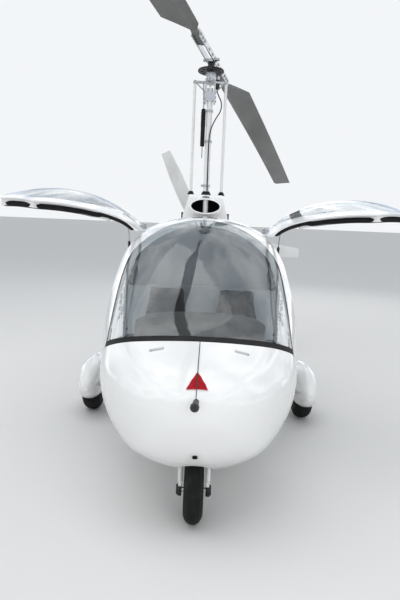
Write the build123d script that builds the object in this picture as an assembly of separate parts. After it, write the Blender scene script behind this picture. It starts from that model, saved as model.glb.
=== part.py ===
"""Two-seat gyrocopter with an enclosed side-by-side cabin, gull-wing doors standing open,
an open flat-four engine with a pusher propeller, and a teetering two-blade rotor.

Millimetres. +Z up. +Y is the way aft, so the nose points along -Y, and +X is the craft's
left side. The origin is on the ground under the centre of the rotor head."""
import math
import os

from build123d import *

os.makedirs("parts", exist_ok=True)

# Driving dimensions
ROTOR_RADIUS = 4270
ROTOR_CHORD = 220
ROTOR_HEAD_Z = 2612
ROTOR_TILT = 8.4
ROTOR_AZIMUTH = 13.6
ROTOR_DROOP = 100

PROPELLER_RADIUS = 859
PROPELLER_Y = 770
PROPELLER_Z = 1299
PROPELLER_PHASE = -4.4

WALL = 30
PANE = 6
CABIN_REAR_Y = -60
BOAT_TAIL_REAR_Y = 700

DOOR_HINGE_X = 420
DOOR_HINGE_Z = 1425
DOOR_OPEN = 93
DOOR_GAP = 6
DOOR_FLANGE = 8
DOOR_FRAME_STEP = 36
DOOR_DEPTH = 50
DEEP_BELOW_Z = 1235

MAIN_WHEEL = dict(radius=190, width=140, rim=78, x=818, y=-110)
GEAR_TOP_Z = 216
GEAR_HALF_CHORD = 45
GEAR_SEAT_GAP = 1
NOSE_WHEEL = dict(radius=170, width=100, rim=78, x=0, y=-1890)
STEER_Y = -1870
AXLE_R = 12
RUNNING_GAP = 0.05

# Cabin sections from the nose to the rear wall. Columns: station y, half width,
# height of the top line, height of the widest line, height of the belly line.
CABIN_SECTIONS = [
    (-2175, 45, 712, 680, 648),
    (-2135, 190, 782, 674, 545),
    (-2070, 284, 826, 664, 444),
    (-1960, 380, 876, 668, 316),
    (-1800, 477, 940, 684, 252),
    (-1560, 539, 1102, 722, 210),
    (-1300, 576, 1283, 782, 200),
    (-1080, 606, 1412, 818, 198),
    (-850, 636, 1505, 850, 200),
    (-500, 655, 1540, 860, 208),
    (CABIN_REAR_Y, 640, 1490, 850, 235),
]
# Boat tail under the engine, same columns. Its upper half is cut away by the deck.
BOAT_TAIL_SECTIONS = [
    (CABIN_REAR_Y, 640, 1490, 850, 235),
    (250, 560, 1250, 740, 245),
    (500, 400, 900, 600, 275),
    (BOAT_TAIL_REAR_Y, 240, 620, 470, 315),
]


def oval_arcs(fullness):
    """Side, corner and cap arcs of the first quarter of a three-centred oval of half axes 1.
    Each arc is (centre, radius, start angle, end angle)."""
    corner = 0.8 * (1 - fullness)
    long_radius = (
        (1 - fullness) ** 2 + fullness**2 - corner**2
    ) / (2 * (1 - fullness - corner))
    turn = math.degrees(math.atan2(fullness, fullness - 1 + long_radius))
    return [
        ((1 - long_radius, 0), long_radius, 0, turn),
        ((fullness, fullness), corner, turn, 90 - turn),
        ((0, 1 - long_radius), long_radius, 90 - turn, 90),
    ]


QUARTER = oval_arcs(0.42)


def oval_face(half_width, top, wide, bottom):
    """Egg-like section in its own plane: the oval's quarters stretched to each half axis."""
    quadrants = (
        (1, 1, top - wide, QUARTER, 0),
        (-1, 1, top - wide, QUARTER[::-1], 180),
        (-1, -1, wide - bottom, QUARTER, 180),
        (1, -1, wide - bottom, QUARTER[::-1], 360),
    )
    edges = []
    for sign_x, sign_z, height, arcs, turn in quadrants:
        for centre, radius, start, end in arcs:
            first = turn + start if sign_x * sign_z > 0 else turn - end
            edges.append(
                EllipticalCenterArc(
                    (sign_x * centre[0] * half_width, wide + sign_z * centre[1] * height),
                    radius * half_width,
                    radius * height,
                    start_angle=first,
                    arc_size=end - start,
                )
            )
    return make_face(Wire(edges))


def station_plane(y, x=0):
    """Plane across the craft at station y: its own x is X and its own y is Z."""
    return Plane(origin=(x, y, 0), x_dir=(1, 0, 0), z_dir=(0, -1, 0))


def hull_solid(sections, wall=0, rear_y=None, x=0):
    """Loft through the section table. A wall thickness gives the surface that far inside."""
    front_y = sections[0][0]
    blend = 350
    faces = []
    for y, half_width, top, wide, bottom in sections:
        near_tip = max(0, 1 - (y - front_y) / blend)
        y_in = y + wall * near_tip
        if rear_y is not None and y == sections[-1][0]:
            y_in = rear_y
        shrink_z = wall * (1 - 0.5 * near_tip)
        face = oval_face(
            half_width - wall * (1 - 0.4 * near_tip),
            max(top - shrink_z, wide + 12),
            wide,
            min(bottom + shrink_z, wide - 12),
        )
        faces.append(station_plane(y_in, x) * face)
    return loft(faces)


def side_prism(points, x_low, x_high, radius=0):
    """Prism along X from a side-view outline of (y, z) points, its corners rounded."""
    outline = make_face(Polyline(*points, close=True))
    if radius:
        outline = fillet(outline.vertices(), radius)
    return extrude(Plane.YZ.offset(x_low) * outline, x_high - x_low)


def front_prism(points, y_low, y_high, radius=0):
    """Prism along Y from a front-view outline of (x, z) points."""
    outline = make_face(Polyline(*points, close=True))
    if radius:
        outline = fillet(outline.vertices(), radius)
    return extrude(station_plane(y_high) * outline, y_high - y_low)


def block(x, y, z):
    """Box from three (low, high) pairs."""
    return Pos(sum(x) / 2, sum(y) / 2, sum(z) / 2) * Box(x[1] - x[0], y[1] - y[0], z[1] - z[0])


def rod(start, end, radius):
    """Round bar between two points."""
    start = Vector(*start)
    end = Vector(*end)
    path = end - start
    return extrude(Plane(origin=start, z_dir=path) * Circle(radius), path.length)


def disc_x(x_low, x_high, y, z, radius):
    """Cylinder along X."""
    return rod((x_low, y, z), (x_high, y, z), radius)


def disc_y(y_low, y_high, x, z, radius):
    """Cylinder along Y."""
    return rod((x, y_low, z), (x, y_high, z), radius)


def mirrored(shape):
    """The same piece on the other side of the craft."""
    return mirror(shape, Plane.YZ)


NODES = {}


def save(name, *solids):
    NODES[name] = solids[0] if len(solids) == 1 else Compound(list(solids))


# Cabin shell
cabin_outer = hull_solid(CABIN_SECTIONS)
cabin_inner = hull_solid(CABIN_SECTIONS, WALL, CABIN_REAR_Y - WALL)
pane_inner = hull_solid(CABIN_SECTIONS, PANE, CABIN_REAR_Y - WALL)
cabin_shell = cabin_outer - cabin_inner
pane_shell = cabin_outer - pane_inner

# Side-view lines of the panels. The windscreen's corner is its lowest point on each side.
SCREEN_CORNER = (-1530, 795)
SCREEN_LOWER_SLOPE = -0.452
SCREEN_REAR_SLOPE = 0.98
FAR_FRONT_Y = -2400
ABOVE_Z = 1900
SILL_SPLIT_Z = 590


def on_lower_line(y):
    return SCREEN_CORNER[1] + SCREEN_LOWER_SLOPE * (y - SCREEN_CORNER[0])


def on_rear_line(z, aft=0):
    return SCREEN_CORNER[0] + (z - SCREEN_CORNER[1]) / SCREEN_REAR_SLOPE + aft


screen_region = side_prism(
    [
        SCREEN_CORNER,
        (FAR_FRONT_Y, on_lower_line(FAR_FRONT_Y)),
        (FAR_FRONT_Y, ABOVE_Z),
        (on_rear_line(ABOVE_Z), ABOVE_Z),
    ],
    -800,
    800,
)
tub_region = side_prism(
    [
        SCREEN_CORNER,
        (-1450, SILL_SPLIT_Z),
        (CABIN_REAR_Y + 100, SILL_SPLIT_Z),
        (CABIN_REAR_Y + 100, 0),
        (FAR_FRONT_Y, 0),
        (FAR_FRONT_Y, on_lower_line(FAR_FRONT_Y)),
    ],
    -800,
    800,
)
PILLAR = 129
DOOR_CORNER_R = 60


def door_prism(inset, x_inner, front_gap=0):
    """Door region of the craft's left side, its outline moved in by inset, and its sloping
    front edge moved aft by front_gap, so that the door clears the pillar as it swings up."""
    outline = make_face(
        Polyline(
            (on_rear_line(1600, PILLAR + front_gap), 1600),
            (on_rear_line(865, PILLAR + front_gap), 865),
            (-1300, 620),
            (-210, 620),
            (-150, 1600),
            close=True,
        )
    )
    outline = fillet(outline.vertices().sort_by(Axis.Y)[:3], DOOR_CORNER_R)
    if inset:
        outline = offset(outline, -inset)
    return extrude(Plane.YZ.offset(x_inner) * outline, 800 - x_inner)


door_opening = door_prism(0, DOOR_HINGE_X - DOOR_GAP / 2)
door_openings = door_opening + mirrored(door_opening)
windscreen = pane_shell & screen_region
save("windscreen", windscreen)

# Strut ball studs on the front pillars
STUD_BALL = (470, -900, 1260)
STUD_FOOT = (502, -985, 1235)
BALL_R = 6
stud = Pos(*STUD_BALL) * Sphere(BALL_R) + rod(STUD_BALL, STUD_FOOT, 3)
cabin_frame = cabin_shell - screen_region - tub_region - door_openings
cabin_frame = cabin_frame + stud + mirrored(stud)

# Door hinges on the roof's edges
HINGE_STATIONS = (-560, -260)
HINGE_PIN_R = 4
KNUCKLE_R = 9
HINGE_ROOM_R = 14


def hinge_barrel(y, length, radius):
    """Round piece of a hinge, centred on station y of the left door's hinge line."""
    return disc_y(y - length / 2, y + length / 2, DOOR_HINGE_X, DOOR_HINGE_Z, radius)


fixed_hinges = []
for hinge_y in HINGE_STATIONS:
    hinge = hinge_barrel(hinge_y, 90, HINGE_PIN_R)
    for side in (-1, 1):
        knuckle_y = hinge_y + side * 30
        tongue = block(
            (DOOR_HINGE_X - 34, DOOR_HINGE_X),
            (knuckle_y - 15, knuckle_y + 15),
            (DOOR_HINGE_Z - KNUCKLE_R, DOOR_HINGE_Z),
        )
        hinge = hinge + hinge_barrel(knuckle_y, 30, KNUCKLE_R) + tongue
    room = hinge_barrel(hinge_y, 30, HINGE_ROOM_R)
    cabin_frame = cabin_frame - room - mirrored(room) - hinge - mirrored(hinge)
    fixed_hinges += [hinge, mirrored(hinge)]
save("door_hinges", *fixed_hinges)

# Lower hull with floor, seat box, nose-wheel box and the gear's saddle
FLOOR_Z = 300
FLOOR_T = 20
WELL = dict(
    front_y=STEER_Y, rear_y=-1790, radius=112, rear_radius=125, roof_z=455, top_z=485, wall=12
)


def well_slot(extra, z_low, z_high):
    """Upright slot that the nose wheel turns in."""
    front = Pos(0, WELL["front_y"], 0) * Circle(WELL["radius"] + extra)
    rear = Pos(0, WELL["rear_y"], 0) * Circle(WELL["rear_radius"] + extra)
    middle = Pos(0, (WELL["front_y"] + WELL["rear_y"]) / 2, 0) * Rectangle(
        2 * (WELL["radius"] + extra), WELL["rear_y"] - WELL["front_y"]
    )
    return extrude(Plane.XY.offset(z_low) * (front + rear + middle), z_high - z_low)


mid_wall = hull_solid(CABIN_SECTIONS, WALL / 2, CABIN_REAR_Y - WALL / 2)
seat_box = side_prism(
    [
        (-800, FLOOR_Z - FLOOR_T),
        (-780, 440),
        (-330, 400),
        (-200, 1000),
        (-75, 1000),
        (-75, FLOOR_Z - FLOOR_T),
    ],
    -700,
    700,
)
seat_box = seat_box - block((-30, 30), (-900, -300), (360, 500))
floor_panel = block((-700, 700), (-1660, -75), (FLOOR_Z - FLOOR_T, FLOOR_Z))
well_block = well_slot(WELL["wall"], 150, WELL["top_z"])
saddle = block((-180, 180), (-160, -62), (GEAR_TOP_Z, 320))
gear_seat = block(
    (-220, 220),
    (MAIN_WHEEL["y"] - GEAR_HALF_CHORD - GEAR_SEAT_GAP, MAIN_WHEEL["y"] + GEAR_HALF_CHORD + GEAR_SEAT_GAP),
    (150, GEAR_TOP_Z),
)
hull_tub = cabin_shell & tub_region
door_room = door_prism(-12, DOOR_HINGE_X - 60)
door_room = door_room - hull_solid(CABIN_SECTIONS, DOOR_DEPTH + 8, CABIN_REAR_Y - WALL)
inside = (floor_panel + seat_box + well_block) & mid_wall
inside = inside - door_room - mirrored(door_room)
hull_tub = hull_tub + inside + (saddle - cabin_inner)
stem_hole = Pos(0, STEER_Y, 0) * extrude(Plane.XY.offset(400) * Circle(16 + RUNNING_GAP), 100)
hull_tub = hull_tub - well_slot(0, 100, WELL["roof_z"]) - stem_hole - gear_seat

# Two ventilation slots in the nose deck, and the round drain at the chin
VENT_X = 213
VENT_Y = -1866
VENT_FLOOR_Z = 862
vent_slot = extrude(
    Plane.XY.offset(VENT_FLOOR_Z) * (Pos(VENT_X, VENT_Y) * RectangleRounded(74, 22, 8)), 60
)
CHIN_HOLE = (0, -2046, 404)
CHIN_HOLE_R = 13
CHIN_SLOPE = 46
chin_drill = Pos(*CHIN_HOLE) * Rot(-CHIN_SLOPE, 0, 0) * Cylinder(CHIN_HOLE_R, 90)
hull_tub = hull_tub - vent_slot - mirrored(vent_slot) - chin_drill
save("cabin_frame", cabin_frame - hull_tub)
save("hull_tub", hull_tub)


# Doors, closed first, then swung up to where they stand
def door_swing(shape, angle=DOOR_OPEN):
    """Turn a piece of the left door about its hinge line, from closed."""
    return shape.rotate(Axis((DOOR_HINGE_X, 0, DOOR_HINGE_Z), (0, -1, 0)), angle)


# Each door is a skin flange that laps over a frame set back all round, deeper below the strut
WINDOW_INSET = 84
door_window_cut = door_prism(WINDOW_INSET, DOOR_HINGE_X + 70)
door_face_x = DOOR_HINGE_X + DOOR_GAP / 2
flange_inner = hull_solid(CABIN_SECTIONS, DOOR_FLANGE, CABIN_REAR_Y - WALL)
frame_inner = hull_solid(CABIN_SECTIONS, DOOR_DEPTH, CABIN_REAR_Y - WALL)
frame_zone = door_prism(DOOR_FRAME_STEP, door_face_x + DOOR_FRAME_STEP - DOOR_GAP)
deep_frame = (cabin_outer - frame_inner) & frame_zone & block((0, 800), (-1500, 0), (0, DEEP_BELOW_Z))
door_shell = (cabin_outer - flange_inner) & door_prism(DOOR_GAP, door_face_x, DOOR_GAP)
door_shell = door_shell + (cabin_shell & frame_zone) + deep_frame
door_shell = door_shell - door_window_cut
door_pane = pane_shell & door_window_cut


def swung_point(point, angle):
    """Where a point of the left door lies after the door turns from closed."""
    dx = point[0] - DOOR_HINGE_X
    dz = point[2] - DOOR_HINGE_Z
    c = math.cos(math.radians(angle))
    s = math.sin(math.radians(angle))
    return Vector(DOOR_HINGE_X + dx * c - dz * s, point[1], DOOR_HINGE_Z + dx * s + dz * c)


EYE_CLOSED = (446, -620, 1325)
bracket = block((440, 468), (-606, -598), (1319, 1386)) + Pos(*EYE_CLOSED) * Sphere(BALL_R)
bracket = bracket + rod(EYE_CLOSED, (EYE_CLOSED[0], -600, EYE_CLOSED[2]), 3)
door_shell = door_shell + (bracket & cabin_outer)

# Hinges: a fixed pin with two knuckles, and the door's own knuckle between them
for hinge_y in HINGE_STATIONS:
    for side in (-1, 1):
        door_shell = door_shell - hinge_barrel(hinge_y + side * 30, 31, HINGE_ROOM_R)
    bore = hinge_barrel(hinge_y, 34, HINGE_PIN_R + RUNNING_GAP)
    leaf = block(
        (DOOR_HINGE_X + 2, DOOR_HINGE_X + 42),
        (hinge_y - 14, hinge_y + 14),
        (DOOR_HINGE_Z - 46, DOOR_HINGE_Z - 6),
    )
    door_shell = door_shell + hinge_barrel(hinge_y, 28, KNUCKLE_R) + leaf - bore
save("door_left", door_swing(door_shell))
save("door_right", mirrored(door_swing(door_shell)))
save("door_pane_left", door_swing(door_pane))
save("door_pane_right", mirrored(door_swing(door_pane)))

# Gas struts: tube on the pillar's stud, rod on the door's eye
ball = Vector(*STUD_BALL)
eye_open = swung_point(EYE_CLOSED, DOOR_OPEN)
strut_open = eye_open - ball
strut_dir = strut_open.normalized()
TUBE_END = 170
EYE_GAP = 14
rod_start = ball + strut_dir * (TUBE_END - 15)
rod_end = ball + strut_dir * (strut_open.length - EYE_GAP)
strut_tube = rod(ball + strut_dir * 8, ball + strut_dir * TUBE_END, 9)
strut_tube = strut_tube - rod(ball + strut_dir * 14, ball + strut_dir * (TUBE_END + 1), 5)
strut_tube = strut_tube - Pos(*STUD_BALL) * Sphere(BALL_R + 2)
strut_rod = rod(rod_start, rod_end, 4) + rod(rod_end - strut_dir * 14, rod_end, 7)
save("strut_tube_left", strut_tube)
save("strut_tube_right", mirrored(strut_tube))
save("strut_rod_left", strut_rod)
save("strut_rod_right", mirrored(strut_rod))

# Boat tail under the engine, mast spine and scoop
MAST_R = 22.5
BOOM_R = 35
BOOM_Z = 365
boom_hole = disc_y(560, BOAT_TAIL_REAR_Y + 5, 0, BOOM_Z, BOOM_R)
deck_cut = side_prism(
    [
        (CABIN_REAR_Y - 50, 760),
        (BOAT_TAIL_REAR_Y + 50, 430),
        (BOAT_TAIL_REAR_Y + 50, 1800),
        (CABIN_REAR_Y - 50, 1800),
    ],
    -800,
    800,
)
boat_tail = hull_solid(BOAT_TAIL_SECTIONS) - deck_cut - boom_hole
save("boat_tail", boat_tail)

SPINE_TOP_Z = 1700
spine = front_prism(
    [(-175, 700), (175, 700), (172, 1540), (124, SPINE_TOP_Z), (-124, SPINE_TOP_Z), (-172, 1540)],
    CABIN_REAR_Y,
    130,
)
spine = fillet(spine.edges().filter_by(GeomType.LINE).filter_by(Axis.X).group_by(Axis.Z)[-1], 30)
scoop = loft(
    [
        station_plane(-340) * (Pos(0, 1612) * Ellipse(113, 56)),
        station_plane(-200) * (Pos(0, 1606) * Ellipse(120, 76)),
        station_plane(CABIN_REAR_Y) * (Pos(0, 1600) * Ellipse(124, 92)),
    ]
)
scoop_hollow = loft(
    [
        station_plane(-350) * (Pos(0, 1612) * Ellipse(104, 47)),
        station_plane(-40) * (Pos(0, 1604) * Ellipse(90, 60)),
    ]
)
mast_hole = extrude(Plane.XY.offset(900) * Circle(MAST_R), 1000)
mast_fairing = spine + scoop - scoop_hollow - mast_hole - cabin_outer - boat_tail
PUSHROD_X = 118
PUSHROD_Y = 45
PUSHROD_R = 11
for side in (-1, 1):
    slot = extrude(Plane.XY.offset(1600) * (Pos(side * PUSHROD_X, PUSHROD_Y) * Circle(PUSHROD_R)), 200)
    mast_fairing = mast_fairing - slot
save("mast_fairing", mast_fairing)

MAST_TOP_Z = 2495
mast = extrude(Plane.XY.offset(900) * Circle(MAST_R), MAST_TOP_Z - 900)
save("mast", mast)

# Rotor head: everything above the gimbal is built upright at the origin, then tilted aft
HEAD = Pos(0, 0, ROTOR_HEAD_Z) * Rot(-ROTOR_TILT, 0, 0)


def on_head(shape):
    return HEAD * shape


bearing_block = Pos(0, 0, -52) * Box(64, 84, 70)
bearing_block = bearing_block + Pos(0, 0, -10) * Cylinder(24, 14)
roll_pin = rod((0, -70, -80), (0, 70, -80), 9)
control_arm = Pos(0, 30, -70) * Box(2 * PUSHROD_X + 26, 26, 14)
spindle = Pos(0, 0, 20) * Cylinder(14, 74)
drive_unit = Pos(52, 40, -60) * Cylinder(15, 80)
head_block = on_head(bearing_block + roll_pin + control_arm + spindle + drive_unit)
cheeks = block((-40, -28), (-38, 38), (2380, 2560)) + block((28, 40), (-38, 38), (2380, 2560))
cross_block = block((-40, 40), (-30, 30), (2400, 2470))
head_block = head_block + cheeks + cross_block - mast
save("rotor_head", head_block)

pushrods = []
for side in (-1, 1):
    top = (HEAD * Pos(side * PUSHROD_X, 30, -78)).position
    start = (side * PUSHROD_X, PUSHROD_Y, 1600)
    lower = rod(start, (side * PUSHROD_X, PUSHROD_Y, 1800), PUSHROD_R)
    upper = rod((side * PUSHROD_X, PUSHROD_Y, 1800), (top.X, top.Y, top.Z), PUSHROD_R)
    pushrods.append(lower + upper - head_block)
save("pushrods", *pushrods)

# Prerotator ring gear: straight teeth round a disc with lightening holes
GEAR_TEETH = 48
GEAR_TIP_R = 98
GEAR_ROOT_R = 93
# Corners of one tooth. Columns: share of the tooth's pitch from its middle, radius.
TOOTH_CORNERS = ((-0.26, GEAR_ROOT_R), (-0.14, GEAR_TIP_R), (0.14, GEAR_TIP_R), (0.26, GEAR_ROOT_R))
tooth_outline = []
for i in range(GEAR_TEETH):
    for share, radius in TOOTH_CORNERS:
        tooth_angle = 2 * math.pi * (i + share) / GEAR_TEETH
        tooth_outline.append((radius * math.cos(tooth_angle), radius * math.sin(tooth_angle)))
ring_gear = extrude(Plane.XY.offset(1) * make_face(Polyline(*tooth_outline, close=True)), 10)
ring_gear = ring_gear - Pos(0, 0, 6) * Cylinder(24, 30)
for i in range(10):
    ring_gear = ring_gear - Rot(0, 0, 36 * i) * Pos(66, 0, 6) * Cylinder(13, 30)
hub_tower = Pos(0, 0, 38) * Cylinder(26, 54) - Pos(0, 0, 10) * Cylinder(14.05, 110)
ring_gear = ring_gear + (hub_tower - Pos(0, 0, 1) * Cylinder(40, 20))
ring_gear = ring_gear + (Pos(0, 0, 8) * Cylinder(30, 12) - Pos(0, 0, 8) * Cylinder(14.05, 20))

BLADE_Z = 92
HUB_HALF = 500
CHEEK_Y = 27
CHEEK_T = 8
hub_bar = Pos(0, 0, 72) * Box(90, 2 * (CHEEK_Y - CHEEK_T / 2), 14) - Pos(0, 0, 60) * Cylinder(26, 10)
teeter_bolt = rod((0, -62, BLADE_Z), (0, 62, BLADE_Z), 9)
hub_bar = hub_bar + teeter_bolt
for side in (-1, 1):
    cheek = Pos(0, side * CHEEK_Y, BLADE_Z) * Box(2 * HUB_HALF, CHEEK_T, 52)
    hub_bar = hub_bar + cheek
    for end in (-1, 1):
        for bolt_x in (340, 400, 460):
            bolt = rod((end * bolt_x, side * 23, BLADE_Z), (end * bolt_x, side * 40, BLADE_Z), 7)
            hub_bar = hub_bar + bolt

BLADE_ROOT = 300
BLADE_T = 26
BLADE_STATIONS = (BLADE_ROOT, 1300, 2300, 3300, ROTOR_RADIUS)


def blade_section():
    """Rotor blade section in (chordwise, upward) coordinates, leading edge at +quarter chord."""
    nose = ROTOR_CHORD * 0.25
    tail = nose - ROTOR_CHORD
    crest = nose - 0.32 * ROTOR_CHORD
    upper = 0.62 * BLADE_T
    lower = upper - BLADE_T
    edges = [
        Line((tail, -1), (tail, 1)),
        ThreePointArc((tail, 1), ((tail + crest) / 2 - 4, 0.62 * upper), (crest, upper)),
        ThreePointArc((crest, upper), (nose - 16, 0.62 * upper), (nose, 0)),
        ThreePointArc((nose, 0), (nose - 14, 0.7 * lower), (crest, lower)),
        ThreePointArc((crest, lower), ((tail + crest) / 2, 0.45 * lower), (tail, -1)),
    ]
    return make_face(Wire(edges))


def rotor_blade():
    """One blade along +x of the head's own frame, drooping more and more towards its tip."""
    faces = []
    for x in BLADE_STATIONS:
        drop = ROTOR_DROOP * (x / ROTOR_RADIUS) ** 2
        plane = Plane(origin=(x, 0, BLADE_Z - drop), x_dir=(0, 1, 0), z_dir=(1, 0, 0))
        faces.append(plane * blade_section())
    blade = loft(faces)
    nose = ROTOR_CHORD * 0.25
    root_cut = make_face(
        Polyline(
            (BLADE_ROOT - 10, -22),
            (560, -22),
            (760, nose - ROTOR_CHORD - 5),
            (760, -400),
            (BLADE_ROOT - 10, -400),
            close=True,
        )
    )
    front_cut = make_face(
        Polyline(
            (BLADE_ROOT - 10, 22),
            (540, 22),
            (640, nose + 5),
            (640, 300),
            (BLADE_ROOT - 10, 300),
            close=True,
        )
    )
    cutters = extrude(root_cut, 400) + extrude(front_cut, 400)
    return blade - Pos(0, 0, -100) * cutters


blade = rotor_blade()
AZIMUTH = 90 - ROTOR_AZIMUTH
blades = []
for turn in (AZIMUTH, AZIMUTH + 180):
    blades.append(on_head(Rot(0, 0, turn) * blade))
hub_bar = on_head(Rot(0, 0, AZIMUTH) * (hub_bar - Pos(0, 0, 40) * Cylinder(14.05, 60)))
save("rotor_blades", *blades)
save("ring_gear", on_head(ring_gear) - hub_bar)
save("hub_bar", hub_bar - blades[0] - blades[1])

# Engine: crankcase, four finned cylinders, gearbox, exhaust, radiator and its frame
CRANK_Z = 1225
crankcase = block((-105, 105), (190, 560), (CRANK_Z - 85, CRANK_Z + 95))
crankcase = fillet(crankcase.edges().filter_by(Axis.Y), 30)
gearbox = disc_y(560, 660, 0, PROPELLER_Z - 10, 105) + disc_y(660, 700, 0, PROPELLER_Z, 55)
save("engine_case", crankcase + gearbox)

CYLINDER_STATIONS = ((280, -1), (330, 1), (440, -1), (490, 1))
FIN_COUNT = 7
cylinders = []
for y, side in CYLINDER_STATIONS:
    barrel = disc_x(side * 105, side * 215, y, CRANK_Z, 44)
    for k in range(FIN_COUNT):
        fin_x = side * (116 + 14 * k)
        barrel = barrel + disc_x(fin_x, fin_x + side * 5, y, CRANK_Z, 58)
    head = Pos(side * 245, y, CRANK_Z) * Box(60, 118, 112)
    head = fillet(head.edges().filter_by(Axis.X), 18)
    cylinders.append(barrel + head)
save("engine_cylinders", *cylinders)

# Intake: air filter and plenum above the crankcase, one runner down to each cylinder head
PLENUM_Z = CRANK_Z + 190
RUNNER_R = 14
RUNNER_BEND_X = 132
intake = disc_y(262, 505, 0, PLENUM_Z, 36) + disc_y(205, 262, 0, PLENUM_Z, 46)
for y, side in CYLINDER_STATIONS:
    bend = (side * RUNNER_BEND_X, y, PLENUM_Z)
    intake = intake + rod((0, y, PLENUM_Z), bend, RUNNER_R) + Pos(*bend) * Sphere(RUNNER_R)
    intake = intake + rod(bend, (side * 236, y, CRANK_Z + 50), RUNNER_R)
for cylinder in cylinders:
    intake = intake - cylinder
save("engine_intake", intake)

silencer = disc_x(-190, 190, 380, 985, 62)
for y, side in CYLINDER_STATIONS:
    silencer = silencer + rod((side * 245, y, CRANK_Z - 56), (side * 120, 380, 1000), 17)
tail_pipe = rod((150, 380, 985), (150, 560, 940), 24)
exhaust = silencer + tail_pipe
for cylinder in cylinders:
    exhaust = exhaust - cylinder
save("exhaust", exhaust)

frame_tubes = []
for side in (-1, 1):
    low = rod((side * 90, 130, 900), (side * 90, 520, CRANK_Z - 95), 12)
    high = rod((side * 90, 130, 1420), (side * 90, 520, CRANK_Z + 100), 12)
    frame_tubes.append(low)
    frame_tubes.append(high)
engine_mount = frame_tubes[0]
for tube in frame_tubes[1:]:
    engine_mount = engine_mount + tube
engine_mount = engine_mount + block((-105, 105), (470, 530), (CRANK_Z - 105, CRANK_Z - 85))
engine_mount = engine_mount + block((-105, 105), (470, 530), (CRANK_Z + 95, CRANK_Z + 112))
engine_mount = engine_mount - block((-105, 105), (190, 560), (CRANK_Z - 85, CRANK_Z + 95))
engine_mount = engine_mount - NODES["exhaust"] - mast_fairing
save("engine_mount", engine_mount)

radiator = block((-190, 190), (150, 195), (1430, 1560))
for side in (-1, 1):
    radiator = radiator + rod((side * 120, 172, 1430), (side * 100, 172, 1330), 14)
save("radiator", radiator - engine_mount - mast_fairing)

# Propeller: hub and three twisted blades
PROP_HUB_R = 62
propeller_hub = disc_y(701, 745, 0, PROPELLER_Z, 48) + disc_y(745, 795, 0, PROPELLER_Z, PROP_HUB_R)
propeller_hub = propeller_hub + disc_y(795, 812, 0, PROPELLER_Z, 34)
# Blade sections. Columns: radius, chord, thickness, pitch angle.
PROP_SECTIONS = [
    (55, 60, 44, 50),
    (200, 105, 24, 40),
    (400, 128, 16, 28),
    (650, 118, 11, 20),
    (PROPELLER_RADIUS, 84, 7, 16),
]


def lens_face(chord, thickness):
    """Propeller blade section: flat-bottomed lens of two arcs."""
    return make_face(
        Wire(
            [
                ThreePointArc((-chord / 2, 0), (0, 0.72 * thickness), (chord / 2, 0)),
                ThreePointArc((chord / 2, 0), (0, -0.28 * thickness), (-chord / 2, 0)),
            ]
        )
    )


def propeller_blade():
    """One blade along +X from the hub's centre."""
    faces = []
    for radius, chord, thickness, pitch in PROP_SECTIONS:
        plane = Plane(origin=(radius, 0, 0), x_dir=(0, 0, 1), z_dir=(1, 0, 0))
        faces.append(plane * (Rot(0, 0, -pitch) * lens_face(chord, thickness)))
    return loft(faces)


prop_blades = []
for k in range(3):
    angle = PROPELLER_PHASE + 120 * k
    placed = Pos(0, PROPELLER_Y, PROPELLER_Z) * Rot(0, -angle, 0) * propeller_blade()
    prop_blades.append(placed - propeller_hub)
save("propeller_hub", propeller_hub)
save("propeller_blades", *prop_blades)

# Tail boom and tail
TAIL_END_Y = 2480
tail_boom = disc_y(560, TAIL_END_Y, 0, BOOM_Z, BOOM_R)
TAIL_TOP_Z = 1700
TAILPLANE_Z = 430
TAILPLANE_HALF = 640
FIN_T = 40


def wing_section(chord, thickness):
    """Symmetric section of two arcs and a blunt tail, leading edge at 0."""
    crest = 0.35 * chord
    return make_face(
        Wire(
            [
                ThreePointArc((0, 0), (0.1 * chord, 0.36 * thickness), (crest, thickness / 2)),
                ThreePointArc((crest, thickness / 2), (0.7 * chord, 0.3 * thickness), (chord, 2)),
                Line((chord, 2), (chord, -2)),
                ThreePointArc((chord, -2), (0.7 * chord, -0.3 * thickness), (crest, -thickness / 2)),
                ThreePointArc((crest, -thickness / 2), (0.1 * chord, -0.36 * thickness), (0, 0)),
            ]
        )
    )


def fin_loft(x, levels):
    """Upright fin through (z, leading edge y, chord, thickness) levels."""
    faces = []
    for z, y, chord, thickness in levels:
        plane = Plane(origin=(x, y, z), x_dir=(0, 1, 0), z_dir=(0, 0, 1))
        faces.append(plane * wing_section(chord, thickness))
    return loft(faces)


tailplane_plane = Plane(origin=(-TAILPLANE_HALF, 1950, TAILPLANE_Z), x_dir=(0, 1, 0), z_dir=(1, 0, 0))
tailplane = extrude(tailplane_plane * wing_section(480, 44), 2 * TAILPLANE_HALF)
boom_pad = block((-30, 30), (2020, 2400), (BOOM_Z, TAILPLANE_Z))
tail_boom = tail_boom + boom_pad
tail_boom = tail_boom - tailplane
centre_fin = fin_loft(0, [(TAILPLANE_Z, 1980, 560, FIN_T), (TAIL_TOP_Z, 2230, 380, 26)])
RUDDER_Y = 2395
rudder_zone = block((-60, 60), (RUDDER_Y, 2800), (560, 1620))
rudder_room = block((-60, 60), (RUDDER_Y - 6, 2800), (554, 1626))
rudder = centre_fin & rudder_zone
RUDDER_PIN_R = 3
rudder_pin = extrude(Plane.XY.offset(520) * (Pos(0, RUDDER_Y + 14) * Circle(RUDDER_PIN_R)), 1140)
rudder = rudder - extrude(
    Plane.XY.offset(500) * (Pos(0, RUDDER_Y + 14) * Circle(RUDDER_PIN_R + RUNNING_GAP)), 1200
)
centre_fin = centre_fin - rudder_room - tailplane + (rudder_pin & block((-9, 9), (2000, 2800), (520, 1660)))
end_fin = fin_loft(TAILPLANE_HALF, [(230, 2010, 430, 30), (430, 1960, 480, 34), (1250, 2120, 330, 24)])
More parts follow.
